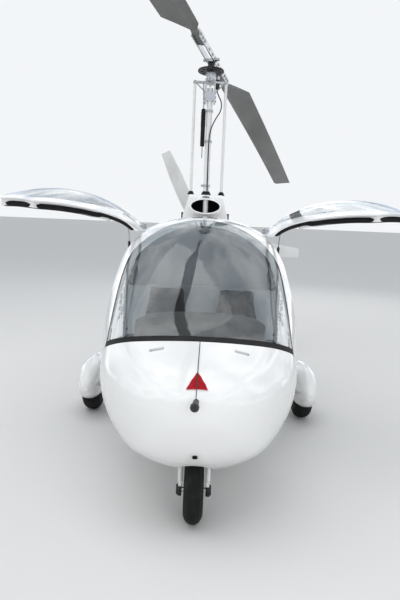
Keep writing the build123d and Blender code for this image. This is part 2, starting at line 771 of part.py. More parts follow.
end_fin = end_fin - tailplane
save("tail_boom", tail_boom)
save("tailplane", tailplane)
save("tail_fins", centre_fin, end_fin, mirrored(end_fin))
save("rudder", rudder)

# Main gear: one bow spring under the belly, stub axles, wheels and spats
GEAR_Y = MAIN_WHEEL["y"]
AXLE_Z = MAIN_WHEEL["radius"]
gear_half = front_prism(
    [(0, 194), (320, 194), (706, 176), (706, 202), (320, GEAR_TOP_Z), (0, GEAR_TOP_Z)],
    GEAR_Y - GEAR_HALF_CHORD,
    GEAR_Y + GEAR_HALF_CHORD,
)
stub_axle = disc_x(700, 895, GEAR_Y, AXLE_Z, AXLE_R)
gear_half = gear_half + stub_axle
save("gear_spring", gear_half + mirrored(gear_half))


def tyre_profile(wheel):
    """Half of the tyre's outline in (across, radius) coordinates, closed at the bead."""
    half = wheel["width"] / 2
    bead_x = half * 0.72
    bead = wheel["rim"] + 6
    shoulder_x = half * 0.86
    shoulder = wheel["radius"] - 28
    bulge = (wheel["rim"] + wheel["radius"]) / 2 - 10
    return make_face(
        Wire(
            [
                Line((-bead_x, bead), (bead_x, bead)),
                ThreePointArc((bead_x, bead), (half, bulge), (shoulder_x, shoulder)),
                ThreePointArc((shoulder_x, shoulder), (0, wheel["radius"]), (-shoulder_x, shoulder)),
                ThreePointArc((-shoulder_x, shoulder), (-half, bulge), (-bead_x, bead)),
            ]
        )
    )


def tyre(wheel):
    """Tyre round an axle along X."""
    plane = Plane(origin=(wheel["x"], wheel["y"], wheel["radius"]), x_dir=(1, 0, 0), z_dir=(0, -1, 0))
    axis = Axis((wheel["x"], wheel["y"], wheel["radius"]), (1, 0, 0))
    return revolve(plane * tyre_profile(wheel), axis, 360)


def rim(wheel):
    """Split-type rim: hub, web and two flanges, bored for the axle."""
    half = wheel["width"] / 2
    seat = wheel["rim"] + 6
    outline = Polyline(
        (-half * 0.72, seat - 10),
        (-half * 0.72, seat),
        (half * 0.72, seat),
        (half * 0.72, seat - 10),
        (half * 0.3, seat - 14),
        (half * 0.22, 34),
        (half * 0.8, 30),
        (half * 0.8, AXLE_R + RUNNING_GAP),
        (-half * 0.8, AXLE_R + RUNNING_GAP),
        (-half * 0.8, 30),
        (-half * 0.22, 34),
        (-half * 0.3, seat - 14),
        close=True,
    )
    plane = Plane(origin=(wheel["x"], wheel["y"], wheel["radius"]), x_dir=(1, 0, 0), z_dir=(0, -1, 0))
    axis = Axis((wheel["x"], wheel["y"], wheel["radius"]), (1, 0, 0))
    return revolve(plane * make_face(outline), axis, 360)


left_tyre = tyre(MAIN_WHEEL)
left_rim = rim(MAIN_WHEEL)
save("main_tyre_left", left_tyre)
save("main_tyre_right", mirrored(left_tyre))
save("main_rim_left", left_rim)
save("main_rim_right", mirrored(left_rim))
save("nose_tyre", tyre(NOSE_WHEEL))
save("nose_rim", rim(NOSE_WHEEL))

# Spat sections, same columns as the cabin's.
SPAT_SECTIONS = [
    (-500, 16, 285, 265, 245),
    (-475, 40, 318, 262, 212),
    (-400, 68, 368, 258, 165),
    (-290, 88, 406, 255, 130),
    (-150, 94, 420, 255, 112),
    (0, 93, 416, 255, 110),
    (160, 74, 388, 258, 135),
    (290, 42, 342, 262, 180),
    (350, 16, 300, 266, 225),
]
spat_faces = []
for y, half_width, top, wide, bottom in SPAT_SECTIONS:
    face = oval_face(half_width, top, wide, bottom)
    spat_faces.append(station_plane(y, MAIN_WHEEL["x"]) * face)
spat = loft(spat_faces)
cavity_outline = make_face(
    Polyline(
        (-77, 0),
        (77, 0),
        (77, 150),
        (52, 196),
        (25, 203),
        (-25, 203),
        (-52, 196),
        (-77, 150),
        close=True,
    )
)
cavity_plane = Plane(origin=(MAIN_WHEEL["x"], GEAR_Y, AXLE_Z), x_dir=(1, 0, 0), z_dir=(0, -1, 0))
cavity = revolve(cavity_plane * cavity_outline, Axis((MAIN_WHEEL["x"], GEAR_Y, AXLE_Z), (1, 0, 0)), 360)
drop_slot = block(
    (MAIN_WHEEL["x"] - 77, MAIN_WHEEL["x"] + 77), (GEAR_Y - 150, GEAR_Y + 150), (50, AXLE_Z)
)
spat = spat - cavity - drop_slot - block((600, 1000), (-600, 500), (0, 118)) - gear_half
save("spats", spat, mirrored(spat))

# Nose fork on its steering stem
LEG_X = 71
LEG_R = 12.5
CROWN_Z = 392
fork = Pos(0, STEER_Y, CROWN_Z) * Box(2 * LEG_X + 2 * LEG_R, 44, 22)
stem = extrude(Plane.XY.offset(CROWN_Z) * (Pos(0, STEER_Y) * Circle(16)), 140)
fork = fork + stem
for side in (-1, 1):
    leg = rod(
        (side * LEG_X, STEER_Y, CROWN_Z),
        (side * LEG_X, NOSE_WHEEL["y"], NOSE_WHEEL["radius"] + 40),
        LEG_R,
    )
    lug = block(
        (side * LEG_X - 8, side * LEG_X + 8),
        (NOSE_WHEEL["y"] - 18, NOSE_WHEEL["y"] + 18),
        (NOSE_WHEEL["radius"] - 22, NOSE_WHEEL["radius"] + 50),
    )
    fork = fork + leg + lug
fork = fork - disc_x(-150, 150, NOSE_WHEEL["y"], NOSE_WHEEL["radius"], AXLE_R)
AXLE_BORE_R = 8
AXLE_HALF = 90
nose_axle = disc_x(-AXLE_HALF, AXLE_HALF, NOSE_WHEEL["y"], NOSE_WHEEL["radius"], AXLE_R)
nose_axle = nose_axle - disc_x(-150, 150, NOSE_WHEEL["y"], NOSE_WHEEL["radius"], AXLE_BORE_R)
save("nose_fork", fork)
save("nose_axle", nose_axle)

# Cabin fittings: seats, instrument panel, sticks
seat_pads = []
seat_backs = []
SEAT_X = 262
PAD_HALF = 215
BACK_HALF = 190
for side in (-1, 1):
    middle = side * SEAT_X
    pad = side_prism(
        [(-790, 441), (-345, 402), (-330, 470), (-770, 520)], middle - PAD_HALF, middle + PAD_HALF
    )
    back = side_prism(
        [(-328, 402), (-200, 1000), (-260, 1030), (-400, 480)], middle - BACK_HALF, middle + BACK_HALF
    )
    seat_pads.append(pad - back)
    seat_backs.append(back)
save("seat_cushions", *[pad - hull_tub for pad in seat_pads])
save("seat_backs", *[back - hull_tub for back in seat_backs])

PANEL_HALF = 430
panel = side_prism(
    [
        (-1330, 560),
        (-1300, 560),
        (-1260, 830),
        (-1330, 850),
        (-1480, 800),
        (-1480, 770),
        (-1345, 790),
    ],
    -PANEL_HALF,
    PANEL_HALF,
)
console = side_prism([(-1400, FLOOR_Z), (-1200, FLOOR_Z), (-1290, 600), (-1340, 600)], -90, 90)
binnacles = side_prism([(-1345, 820), (-1265, 820), (-1285, 872), (-1330, 866)], -330, -220)
save("instrument_panel", (panel + console + binnacles + mirrored(binnacles)) - hull_tub)

sticks = []
for side in (-1, 1):
    stick = rod((side * SEAT_X, -860, FLOOR_Z), (side * SEAT_X, -900, 560), 10)
    stick = stick + rod((side * SEAT_X, -897, 540), (side * SEAT_X, -915, 660), 17)
    sticks.append(stick)
save("control_sticks", *[stick - hull_tub for stick in sticks])

# Pitot probe with its cover on the nose
PITOT_ROOT = (0, -2120, 728)
PITOT_TIP = (-11, -2290, 729)
PITOT_R = 8
save("pitot_probe", rod(PITOT_ROOT, PITOT_TIP, PITOT_R) - cabin_outer)

for name, shape in NODES.items():
    export_step(shape, f"parts/{name}.step")
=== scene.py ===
import math

import bmesh
import bpy
import numpy as np
from mathutils import Matrix, Vector
from mathutils.bvhtree import BVHTree


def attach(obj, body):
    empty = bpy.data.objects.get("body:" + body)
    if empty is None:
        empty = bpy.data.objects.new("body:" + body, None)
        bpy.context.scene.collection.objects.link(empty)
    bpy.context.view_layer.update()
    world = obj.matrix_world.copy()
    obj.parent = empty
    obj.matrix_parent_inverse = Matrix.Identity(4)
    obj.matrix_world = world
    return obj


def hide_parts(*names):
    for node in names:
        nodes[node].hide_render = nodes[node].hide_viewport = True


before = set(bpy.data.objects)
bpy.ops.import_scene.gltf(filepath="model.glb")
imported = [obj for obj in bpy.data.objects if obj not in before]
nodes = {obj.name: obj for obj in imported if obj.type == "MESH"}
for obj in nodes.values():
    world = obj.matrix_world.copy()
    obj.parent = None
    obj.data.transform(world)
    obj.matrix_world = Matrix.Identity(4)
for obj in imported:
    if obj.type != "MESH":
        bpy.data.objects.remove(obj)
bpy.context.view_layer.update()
# a place as a matrix
at = Matrix.Translation


def new_object(name, data):
    """An object in the scene."""
    made = bpy.data.objects.new(name, data)
    bpy.context.scene.collection.objects.link(made)
    return made


def mesh_data(name, mesh):
    """A bmesh turned into a mesh and freed."""
    data = bpy.data.meshes.new(name)
    mesh.to_mesh(data)
    mesh.free()
    return data


def turn_out(mesh):
    """Every face's normal turned outward."""
    bmesh.ops.recalc_face_normals(mesh, faces=mesh.faces[:])


# Camera
# Held at standing height right in front of the nose, with the small tilt of a hand-held picture.
CAMERA_PLACE = (0.0, -4.968, 1.592)
CAMERA_PITCH = 8.16
CAMERA_ROLL = 2.4
SENSOR_HEIGHT = 36
FOCAL_LENGTH = 38.1
PICTURE_HEIGHT_PX = 600
CENTRE_SHIFT_PX = 1.46
camera_data = bpy.data.cameras.new("camera")
camera_data.sensor_fit = "VERTICAL"
camera_data.sensor_height = SENSOR_HEIGHT
camera_data.lens = FOCAL_LENGTH
camera_data.shift_x = -CENTRE_SHIFT_PX / PICTURE_HEIGHT_PX
camera = new_object("camera", camera_data)
camera_pitch = Matrix.Rotation(math.radians(90 - CAMERA_PITCH), 4, "X")
camera.matrix_world = at(CAMERA_PLACE) @ camera_pitch @ Matrix.Rotation(math.radians(CAMERA_ROLL), 4, "Z")
bpy.context.scene.camera = camera
bpy.context.scene.view_settings.view_transform = "Standard"


# Floor and light
# A plain pale studio floor under a wide soft light from above, like an overcast sky.
def feed(tree, node, inputs):
    """A node's sockets set to values or linked to other sockets."""
    for socket, source in inputs.items():
        if isinstance(source, bpy.types.NodeSocket):
            tree.links.new(source, node.inputs[socket])
        else:
            node.inputs[socket].default_value = source


def add_node(tree, kind, inputs=None, **settings):
    """A shader node with its settings and sockets."""
    made = tree.nodes.new(kind)
    for key, value in settings.items():
        setattr(made, key, value)
    feed(tree, made, inputs or {})
    return made


def math_node(tree, operation, *values):
    """Result of a sum on one to three values or sockets."""
    return add_node(tree, "ShaderNodeMath", dict(enumerate(values)), operation=operation).outputs[0]


def vector_node(tree, operation, first, second):
    """Vector node on two vectors or sockets."""
    return add_node(tree, "ShaderNodeVectorMath", {0: first, 1: second}, operation=operation)


def mix_color(tree, share, low, high):
    """Colour between low and high."""
    return add_node(tree, "ShaderNodeMix", {0: share, 6: low, 7: high}, data_type="RGBA").outputs[2]


def map_range(tree, value, low, high, to_low=0.0, to_high=1.0):
    """A value's place between low and high, carried to a new range."""
    ends = {"Value": value, 1: low, 2: high, 3: to_low, 4: to_high}
    return add_node(tree, "ShaderNodeMapRange", ends).outputs[0]


def noise_node(tree, place, scale, detail, **more):
    """Noise laid over a place, from 0 to 1."""
    sockets = {"Vector": place, "Scale": scale, "Detail": detail, **more}
    return add_node(tree, "ShaderNodeTexNoise", sockets).outputs["Fac"]


def object_place(tree):
    """The piece's own coordinates."""
    return add_node(tree, "ShaderNodeTexCoord").outputs["Object"]


def add_bump(tree, shader, height, strength, distance=0.001):
    """Relief on the shader's normal, its depth in metres."""
    bump = add_node(tree, "ShaderNodeBump", {"Height": height, "Strength": strength, "Distance": distance})
    feed(tree, shader, {"Normal": bump.outputs["Normal"]})


def shader_material(name, color, roughness, metallic=0.0):
    """A material with its Principled shader, ready for more nodes."""
    material = bpy.data.materials.new(name)
    material.use_nodes = True
    shader = material.node_tree.nodes["Principled BSDF"]
    feed(
        material.node_tree, shader,
        {"Base Color": (*color, 1), "Roughness": roughness, "Metallic": metallic},
    )
    return material, material.node_tree, shader


FLOOR_HALF = 60.0
floor_material, floor_tree, floor_shader = shader_material("studio_floor", (0.74, 0.74, 0.73), 0.7)
floor_grain = noise_node(floor_tree, object_place(floor_tree), 40.0, 3.0)
floor_bump = add_node(floor_tree, "ShaderNodeBump", {"Height": floor_grain, "Strength": 0.03})
feed(floor_tree, floor_shader, {"Normal": floor_bump.outputs["Normal"]})
floor_mesh = bmesh.new()
bmesh.ops.create_grid(floor_mesh, x_segments=1, y_segments=1, size=FLOOR_HALF)
floor = new_object("floor", mesh_data("floor", floor_mesh))
floor.data.materials.append(floor_material)

world = bpy.data.worlds.new("studio")
bpy.context.scene.world = world
world.use_nodes = True
world_tree = world.node_tree
sky = world_tree.nodes["Background"]
feed(world_tree, sky, {"Color": (0.93, 0.96, 1.0, 1.0), "Strength": 0.62})
backdrop = add_node(world_tree, "ShaderNodeBackground", {"Color": (0.9, 0.92, 0.94, 1.0), "Strength": 1.0})
rays = add_node(world_tree, "ShaderNodeLightPath")
seen = math_node(world_tree, "MAXIMUM", rays.outputs["Is Camera Ray"], rays.outputs["Is Transmission Ray"])
sky_place = add_node(world_tree, "ShaderNodeTexCoord").outputs["Generated"]
cloud_noise = noise_node(world_tree, sky_place, 5.5, 8.0, Roughness=0.6, Distortion=0.4)
cloud_share = map_range(world_tree, cloud_noise, 0.42, 0.60)
cloud_color = mix_color(world_tree, cloud_share, (0.30, 0.35, 0.42, 1), (1.0, 1.0, 1.0, 1))
clouds = add_node(world_tree, "ShaderNodeBackground", {"Color": cloud_color, "Strength": 1.7})
lit_mix = add_node(
    world_tree, "ShaderNodeMixShader",
    {0: rays.outputs["Is Glossy Ray"], 1: sky.outputs[0], 2: clouds.outputs[0]},
)
sky_mix = add_node(
    world_tree, "ShaderNodeMixShader", {0: seen, 1: lit_mix.outputs[0], 2: backdrop.outputs[0]}
)
feed(world_tree, world_tree.nodes["World Output"], {"Surface": sky_mix.outputs[0]})

# Lamps: name, place, aimed at, width, length, watts
for lamp_name, place, target, width, length, watts in (
    ("overhead", (-1.5, -2.0, 7.5), (0.0, -0.6, 0.8), 9.0, 7.0, 290),
    ("front_fill", (0.8, -8.5, 2.6), (0.0, -0.8, 0.7), 6.0, 3.5, 150),
    ("rear_rim", (2.5, 7.5, 4.5), (0.0, 0.5, 1.2), 5.0, 3.0, 80),
):
    lamp_data = bpy.data.lights.new(lamp_name, "AREA")
    lamp_data.shape = "RECTANGLE"
    lamp_data.size = width
    lamp_data.size_y = length
    lamp_data.energy = watts
    lamp = new_object(lamp_name, lamp_data)
    turn = (Vector(target) - Vector(place)).to_track_quat("-Z", "Y")
    lamp.matrix_world = at(place) @ turn.to_matrix().to_4x4()
    lamp.visible_camera = False
    lamp.visible_glossy = False


# Cabin shell, boat tail, doors, spats and tail
# Glass-fibre mouldings with a white gelcoat, polished outside, lined with grey cloth inside; the air scoop's
# inside is near-black, painted shade.
def shader_group(name, inputs, outputs):
    """A node group with named sockets; an input's kind follows from its value."""
    group = bpy.data.node_groups.new(name, "ShaderNodeTree")
    for label, value in inputs.items():
        kind = "Float" if isinstance(value, float) else {3: "Vector", 4: "Color"}[len(value)]
        socket = group.interface.new_socket(name=label, in_out="INPUT", socket_type="NodeSocket" + kind)
        socket.default_value = value
    for label, kind in outputs.items():
        group.interface.new_socket(name=label, in_out="OUTPUT", socket_type="NodeSocket" + kind)
    return group, group.nodes.new("NodeGroupInput").outputs, group.nodes.new("NodeGroupOutput").inputs


wear_group, wear_in, wear_out = shader_group(
    "surface_wear",
    {
        "Vector": (0, 0, 0), "Color": (0.8, 0.8, 0.8, 1), "Worn Color": (0.6, 0.6, 0.6, 1), "Scale": 6.0,
        "Wear": 0.2, "Roughness": 0.3, "Spread": 0.1, "Grain Scale": 200.0,
    },
    {"Color": "Color", "Roughness": "Float", "Height": "Float"},
)
wear_noise = noise_node(wear_group, wear_in["Vector"], wear_in["Scale"], 6.0)
wear_mask = map_range(wear_group, wear_noise, 0.48, 0.74, 0.0, wear_in["Wear"])
wear_color = mix_color(wear_group, wear_mask, wear_in["Color"], wear_in["Worn Color"])
wear_centre = math_node(wear_group, "SUBTRACT", wear_noise, 0.5)
wear_rough = math_node(wear_group, "MULTIPLY_ADD", wear_centre, wear_in["Spread"], wear_in["Roughness"])
wear_grain = noise_node(wear_group, wear_in["Vector"], wear_in["Grain Scale"], 2.0)
wear_group.links.new(wear_color, wear_out["Color"])
wear_group.links.new(wear_rough, wear_out["Roughness"])
wear_group.links.new(wear_grain, wear_out["Height"])

dust_group, dust_in, dust_out = shader_group(
    "ground_dust",
    {
        "Vector": (0, 0, 0), "Color": (0.8, 0.8, 0.8, 1), "Dust Color": (0.36, 0.33, 0.29, 1), "Top": 0.4,
        "Amount": 0.3,
    },
    {"Color": "Color"},
)
dust_split = add_node(dust_group, "ShaderNodeSeparateXYZ", {0: dust_in["Vector"]})
dust_fall = map_range(dust_group, dust_split.outputs["Z"], 0.0, dust_in["Top"], dust_in["Amount"], 0.0)
dust_noise = noise_node(dust_group, dust_in["Vector"], 22.0, 5.0)
dust_patch = map_range(dust_group, dust_noise, 0.3, 0.65, 0.25, 1.0)
dust_mask = math_node(dust_group, "MULTIPLY", dust_fall, dust_patch)
dust_color = mix_color(dust_group, dust_mask, dust_in["Color"], dust_in["Dust Color"])
dust_group.links.new(dust_color, dust_out["Color"])

inner_group, inner_in, inner_out = shader_group(
    "inner_side", {"Vector": (0, 0, 0), "Normal": (0, 0, 1), "Centre": (0, 0, 0), "Stretch": (1, 1, 1)},
    {"Mask": "Float"},
)
inner_from = vector_node(inner_group, "SUBTRACT", inner_in["Vector"], inner_in["Centre"])
inner_along = vector_node(inner_group, "MULTIPLY", inner_from.outputs[0], inner_in["Stretch"])
inner_dot = vector_node(inner_group, "DOT_PRODUCT", inner_along.outputs[0], inner_in["Normal"])
inner_less = math_node(inner_group, "LESS_THAN", inner_dot.outputs["Value"], -0.01)
inner_group.links.new(inner_less, inner_out["Mask"])


def use_group(tree, group, values):
    """A group placed in a material."""
    return add_node(tree, "ShaderNodeGroup", values, node_tree=group).outputs


def worn_look(tree, place, color, worn, scale, wear, roughness, spread, grain):
    """The wear group placed in a material."""
    values = {
        "Vector": place, "Color": (*color, 1), "Worn Color": (*worn, 1), "Scale": scale, "Wear": wear,
        "Roughness": roughness, "Spread": spread, "Grain Scale": grain,
    }
    return use_group(tree, wear_group, values)


# The windscreen's lower and rear edges, as lines in the side view
SCREEN_CORNER = (-1.530, 0.795)
lower_across = Vector((0, 0.452, 1.0)).normalized()
rear_across = Vector((0, -0.98, 1.0)).normalized()
corner_point = Vector((0, *SCREEN_CORNER))
STEP_HALF = 0.0012

# Depth of the finest relief on paint and metal
FINE_DEPTH = 0.0004
LINING_ROUGH = 0.85


def gelcoat(name, centre=None, stretch=(1, 1, 1), lining_and_shade=(0.36, 0.39, 0.42)):
    """White gelcoat with ground dust, and another colour on the faces that look towards centre: grey cloth in
    the cabin, painted shade inside the air scoop.
    """
    material, tree, shader = shader_material(name, (0.84, 0.845, 0.84), 0.16)
    place = object_place(tree)
    wear = worn_look(tree, place, (0.86, 0.865, 0.86), (0.79, 0.79, 0.775), 2.4, 0.5, 0.17, 0.12, 70.0)
    dust = {"Vector": place, "Color": wear["Color"], "Top": 0.42, "Amount": 0.22}
    color = use_group(tree, dust_group, dust)["Color"]
    rough = wear["Roughness"]
    coat = 1.0
    if centre is not None:
        normal = add_node(tree, "ShaderNodeTexCoord").outputs["Normal"]
        ends = {"Vector": place, "Normal": normal, "Centre": centre, "Stretch": stretch}
        inner = use_group(tree, inner_group, ends)["Mask"]
        # the step that the windscreen is bonded to is lined too
        across = vector_node(tree, "DOT_PRODUCT", place, rear_across).outputs["Value"]
        step = math_node(tree, "COMPARE", across, rear_across.dot(corner_point), STEP_HALF)
        covered = math_node(tree, "MAXIMUM", inner, step)
        color = mix_color(tree, covered, color, (*lining_and_shade, 1))
        rough = add_node(tree, "ShaderNodeMix", {0: covered, 2: rough, 3: LINING_ROUGH}).outputs[0]
        coat = math_node(tree, "SUBTRACT", 1.0, covered)
    feed(tree, shader, {"Coat Weight": coat, "Coat Roughness": 0.04, "Base Color": color, "Roughness": rough})
    add_bump(tree, shader, wear["Height"], 0.12, FINE_DEPTH)
    return material


def dress(material, *names):
    """A CAD node takes a material."""
    for name in names:
        nodes[name].data.materials.clear()
        nodes[name].data.materials.append(material)


CABIN_CENTRE = (0.0, -0.9, 0.8)
HINGE_X = 0.420
HINGE_Z = 1.425
DOOR_OPEN = math.radians(93)
hinge_line = at((HINGE_X, 0, HINGE_Z))
# takes the closed left door to where it is stored, open
OPENED = hinge_line @ Matrix.Rotation(-DOOR_OPEN, 4, "Y") @ hinge_line.inverted()
door_centre = OPENED @ Vector(CABIN_CENTRE)
dress(gelcoat("gelcoat_cabin", CABIN_CENTRE), "hull_tub", "cabin_frame")
dress(gelcoat("gelcoat_left_door", tuple(door_centre)), "door_left")
dress(gelcoat("gelcoat_right_door", (-door_centre.x, door_centre.y, door_centre.z)), "door_right")
dress(gelcoat("gelcoat_plain"), "boat_tail", "tailplane", "tail_fins", "rudder", "spats")
# The scoop's faces towards its axis are near-black: painted shade inside the mouth.
dress(gelcoat("gelcoat_scoop", (0.0, 0.0, 1.606), (1, 0, 1), lining_and_shade=(0.012, 0.012, 0.013)), "mast_fairing")

# Windscreen and door panes
# Blown clear acrylic, bonded in its frame, with a black band over the glue line.
acrylic, acrylic_tree, acrylic_shader = shader_material("acrylic", (0.93, 0.965, 0.965), 0.0)
acrylic_smear = noise_node(acrylic_tree, object_place(acrylic_tree), 5.0, 5.0)
acrylic_rough = map_range(acrylic_tree, acrylic_smear, 0.45, 0.8, 0.0, 0.06)
feed(acrylic_tree, acrylic_shader, {"Transmission Weight": 1.0, "IOR": 1.49, "Roughness": acrylic_rough})
dress(acrylic, "windscreen", "door_pane_left", "door_pane_right")


def surface(
    name, color, worn, roughness, metallic=0.0, scale=6.0, wear=0.5, grain=300.0, bump=0.15,
    stretch=(1, 1, 1), specular=0.5,
):
    """A surface with worn patches, an uneven gloss and fine grain, which stretch draws out along an axis."""
    material, tree, shader = shader_material(name, color, roughness, metallic)
    drawn = add_node(tree, "ShaderNodeMapping", {"Vector": object_place(tree), "Scale": stretch}).outputs[0]
    look = worn_look(tree, drawn, color, worn, scale, wear, roughness, 0.2, grain)
    sockets = {"Base Color": look["Color"], "Roughness": look["Roughness"], "Specular IOR Level": specular}
    feed(tree, shader, sockets)
    add_bump(tree, shader, look["Height"], bump, FINE_DEPTH)
    return material


seal_rubber = surface(
    "seal_rubber", (0.010, 0.010, 0.011), (0.022, 0.022, 0.022), 0.6, scale=14.0, wear=0.7, specular=0.22
)


def finish(name, mesh, material, body="airframe", angle=35):
    """A bmesh made into a piece that rides on a body, smooth but for its sharp edges."""
    data = mesh_data(name, mesh)
    data.polygons.foreach_set("use_smooth", [True] * len(data.polygons))
    data.set_sharp_from_angle(angle=math.radians(angle))
    data.materials.append(material)
    piece = new_object(name, data)
    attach(piece, body)
    return piece


# How square to the ray from the cabin's centre the outer skin lies at least, and a strip's thickness
OUTER_FACING = 0.35
STRIP_DEPTH = 0.0012


def screen_strip(name, cuts, material, proud):
    """A thin strip over the windscreen's outer skin, kept on the inner side of each cut (point, normal)."""
    mesh = bmesh.new()
    mesh.from_mesh(nodes["windscreen"].data)
    bmesh.ops.remove_doubles(mesh, verts=mesh.verts, dist=0.0001)
    for point, normal in cuts:
        everything = mesh.verts[:] + mesh.edges[:] + mesh.faces[:]
        bmesh.ops.bisect_plane(mesh, geom=everything, plane_co=point, plane_no=normal, clear_outer=True)
    middle = Vector(CABIN_CENTRE)
    inward = []
    for face in mesh.faces:
        ray = (face.calc_center_median() - middle).normalized()
        if face.normal.dot(ray) < OUTER_FACING:
            inward.append(face)
    bmesh.ops.delete(mesh, geom=inward, context="FACES")
    mesh.normal_update()
    for vert in mesh.verts:
        vert.co += vert.normal * proud
    bmesh.ops.solidify(mesh, geom=mesh.faces[:], thickness=STRIP_DEPTH)
    return finish(name, mesh, material, "airframe")


# A white moulded wedge covers each lower rear corner of the screen, with a black line and band inside it
BAND = 0.034
SIDE_BAND = 0.009
WEDGE_FOOT = Vector((0, -1.606, 0.829))
WEDGE_TOP = Vector((0, -1.130, 1.203))
wedge_along = (WEDGE_TOP - WEDGE_FOOT).normalized()
wedge_across = Vector((0, -wedge_along.z, wedge_along.y))
corner_across = (lower_across + wedge_across).normalized()
CORNER_CUT = 0.030
gelcoat_trim = gelcoat("gelcoat_trim")
behind_wedge = (WEDGE_FOOT, -wedge_across)
# Strips: name, cuts, material, slot, height over the glass
for strip_name, cuts, material, slot, proud in (
    ("screen_corner_cover", [(WEDGE_FOOT, wedge_across)], gelcoat_trim, "white_shell", 0.0010),
    (
        "screen_lower_band", [(corner_point + lower_across * BAND, lower_across)], seal_rubber,
        "black_trim", 0.0006,
    ),
    (
        "screen_side_band", [(WEDGE_FOOT + wedge_across * SIDE_BAND, wedge_across), behind_wedge],
        seal_rubber, "black_trim", 0.0004,
    ),
    (
        "screen_corner_band", [(WEDGE_FOOT + corner_across * CORNER_CUT, corner_across), behind_wedge],
        seal_rubber, "black_trim", 0.0002,
    ),
):
    screen_strip(strip_name, cuts, material, proud)

# Materials of the structure, engine and running gear
# Painted tube, machined and cast alloy, black steel and mouldings; each CAD node takes its own.
frame_paint = surface(
    "frame_paint", (0.33, 0.335, 0.34), (0.22, 0.22, 0.22), 0.34, 0.1, scale=9.0, wear=0.4
)
white_paint = surface(
    "white_paint", (0.78, 0.785, 0.78), (0.62, 0.61, 0.59), 0.26, scale=8.0, wear=0.35, bump=0.08
)
machined = surface(
    "machined_alloy", (0.56, 0.57, 0.585), (0.4, 0.405, 0.41), 0.3, 1.0, scale=5.0, wear=0.6, grain=160.0,
    stretch=(1, 1, 7),
)
cast_alloy = surface(
    "cast_alloy", (0.3, 0.3, 0.295), (0.14, 0.135, 0.125), 0.52, 0.85, scale=11.0, wear=0.8, grain=420.0,
    bump=0.4,
)
rim_alloy = surface(
    "rim_alloy", (0.5, 0.5, 0.505), (0.26, 0.25, 0.235), 0.38, 0.9, scale=13.0, wear=0.6, grain=380.0,
    bump=0.2,
)
black_steel = surface(
    "black_steel", (0.017, 0.017, 0.018), (0.09, 0.09, 0.09), 0.36, 0.3, scale=22.0, wear=0.35
)
black_moulding = surface(
    "black_moulding", (0.022, 0.022, 0.023), (0.045, 0.045, 0.045), 0.5, scale=12.0, grain=700.0, bump=0.35
)
blade_alloy = surface(
    "blade_alloy", (0.17, 0.175, 0.17), (0.1, 0.1, 0.098), 0.42, 0.35, scale=3.0, wear=0.7, grain=90.0,
    stretch=(1, 0.25, 1),
)
blade_white = surface("blade_white", (0.74, 0.745, 0.74), (0.5, 0.5, 0.49), 0.24, scale=7.0, wear=0.5)
tyre_rubber = surface(
    "tyre_rubber", (0.007, 0.007, 0.007), (0.022, 0.021, 0.019), 0.78, scale=18.0, wear=0.8, grain=520.0,
    bump=0.35, specular=0.25,
)

dress(frame_paint, "engine_mount")
dress(white_paint, "mast", "pushrods", "tail_boom", "nose_fork", "pitot_probe", "door_hinges")
dress(machined, "rotor_head", "hub_bar", "propeller_hub", "strut_rod_left", "strut_rod_right", "nose_axle")
dress(cast_alloy, "engine_case", "engine_cylinders", "engine_intake")
dress(rim_alloy, "nose_rim", "main_rim_left", "main_rim_right")
dress(black_steel, "ring_gear", "strut_tube_left", "strut_tube_right")
dress(black_moulding, "instrument_panel", "control_sticks", "gear_spring")
dress(blade_alloy, "rotor_blades")
dress(blade_white, "propeller_blades")
dress(tyre_rubber, "nose_tyre", "main_tyre_left", "main_tyre_right")

# The silencer's steel turns from straw to blue towards the pipes' hot ends
hot_steel, hot_tree, hot_shader = shader_material("hot_steel", (0.4, 0.36, 0.31), 0.36, 1.0)
hot_place = object_place(hot_tree)
hot_split = add_node(hot_tree, "ShaderNodeSeparateXYZ", {0: hot_place})
hot_noise = noise_node(hot_tree, hot_place, 14.0, 5.0)
hot_height = math_node(hot_tree, "MULTIPLY_ADD", hot_noise, 0.12, hot_split.outputs["Z"])
hot_share = map_range(hot_tree, hot_height, 1.0, 1.22)
hot_ramp = add_node(hot_tree, "ShaderNodeValToRGB", {"Fac": hot_share})
hot_marks = hot_ramp.color_ramp.elements
hot_marks[0].color = (0.3, 0.27, 0.235, 1)
hot_marks[1].color = (0.16, 0.12, 0.1, 1)
for share, color in ((0.45, (0.46, 0.34, 0.17, 1)), (0.72, (0.16, 0.17, 0.27, 1))):
    hot_marks.new(share).color = color
feed(hot_tree, hot_shader, {"Base Color": hot_ramp.outputs[0]})
add_bump(hot_tree, hot_shader, hot_noise, 0.15, FINE_DEPTH)
dress(hot_steel, "exhaust")

# Radiator: matt black core with close upright fins
core_black, core_tree, core_shader = shader_material("radiator_core", (0.03, 0.03, 0.031), 0.5, 0.5)
core_wave = {"Vector": object_place(core_tree), "Scale": 60.0, "Distortion": 0.3}
core_fins = add_node(core_tree, "ShaderNodeTexWave", core_wave).outputs["Fac"]
core_shade = mix_color(core_tree, core_fins, (0.008, 0.008, 0.008, 1), (0.06, 0.06, 0.062, 1))
feed(core_tree, core_shader, {"Base Color": core_shade})
add_bump(core_tree, core_shader, core_fins, 0.8, 0.002)
dress(core_black, "radiator")


# Seals round the doors and their openings
# Black bulb rubber pushed over the moulding's edge, in one run all the way round.
def put(mesh, part, place):
    """A loose part moved to its place and joined to a piece's mesh."""
    bmesh.ops.transform(part, matrix=place, verts=part.verts)
    data = mesh_data("part", part)
    mesh.from_mesh(data)
    bpy.data.meshes.remove(data)


def aim(place, along):
    """Matrix that sets a part's own Z along a direction, at a place."""
    return at(place) @ Vector(along).to_track_quat("Z", "Y").to_matrix().to_4x4()


def ease(mesh, edges, offset, segments=2):
    """Edges rounded off."""
    bmesh.ops.bevel(
        mesh, geom=edges, offset=offset, segments=segments, profile=0.5, affect="EDGES", material=-1
    )


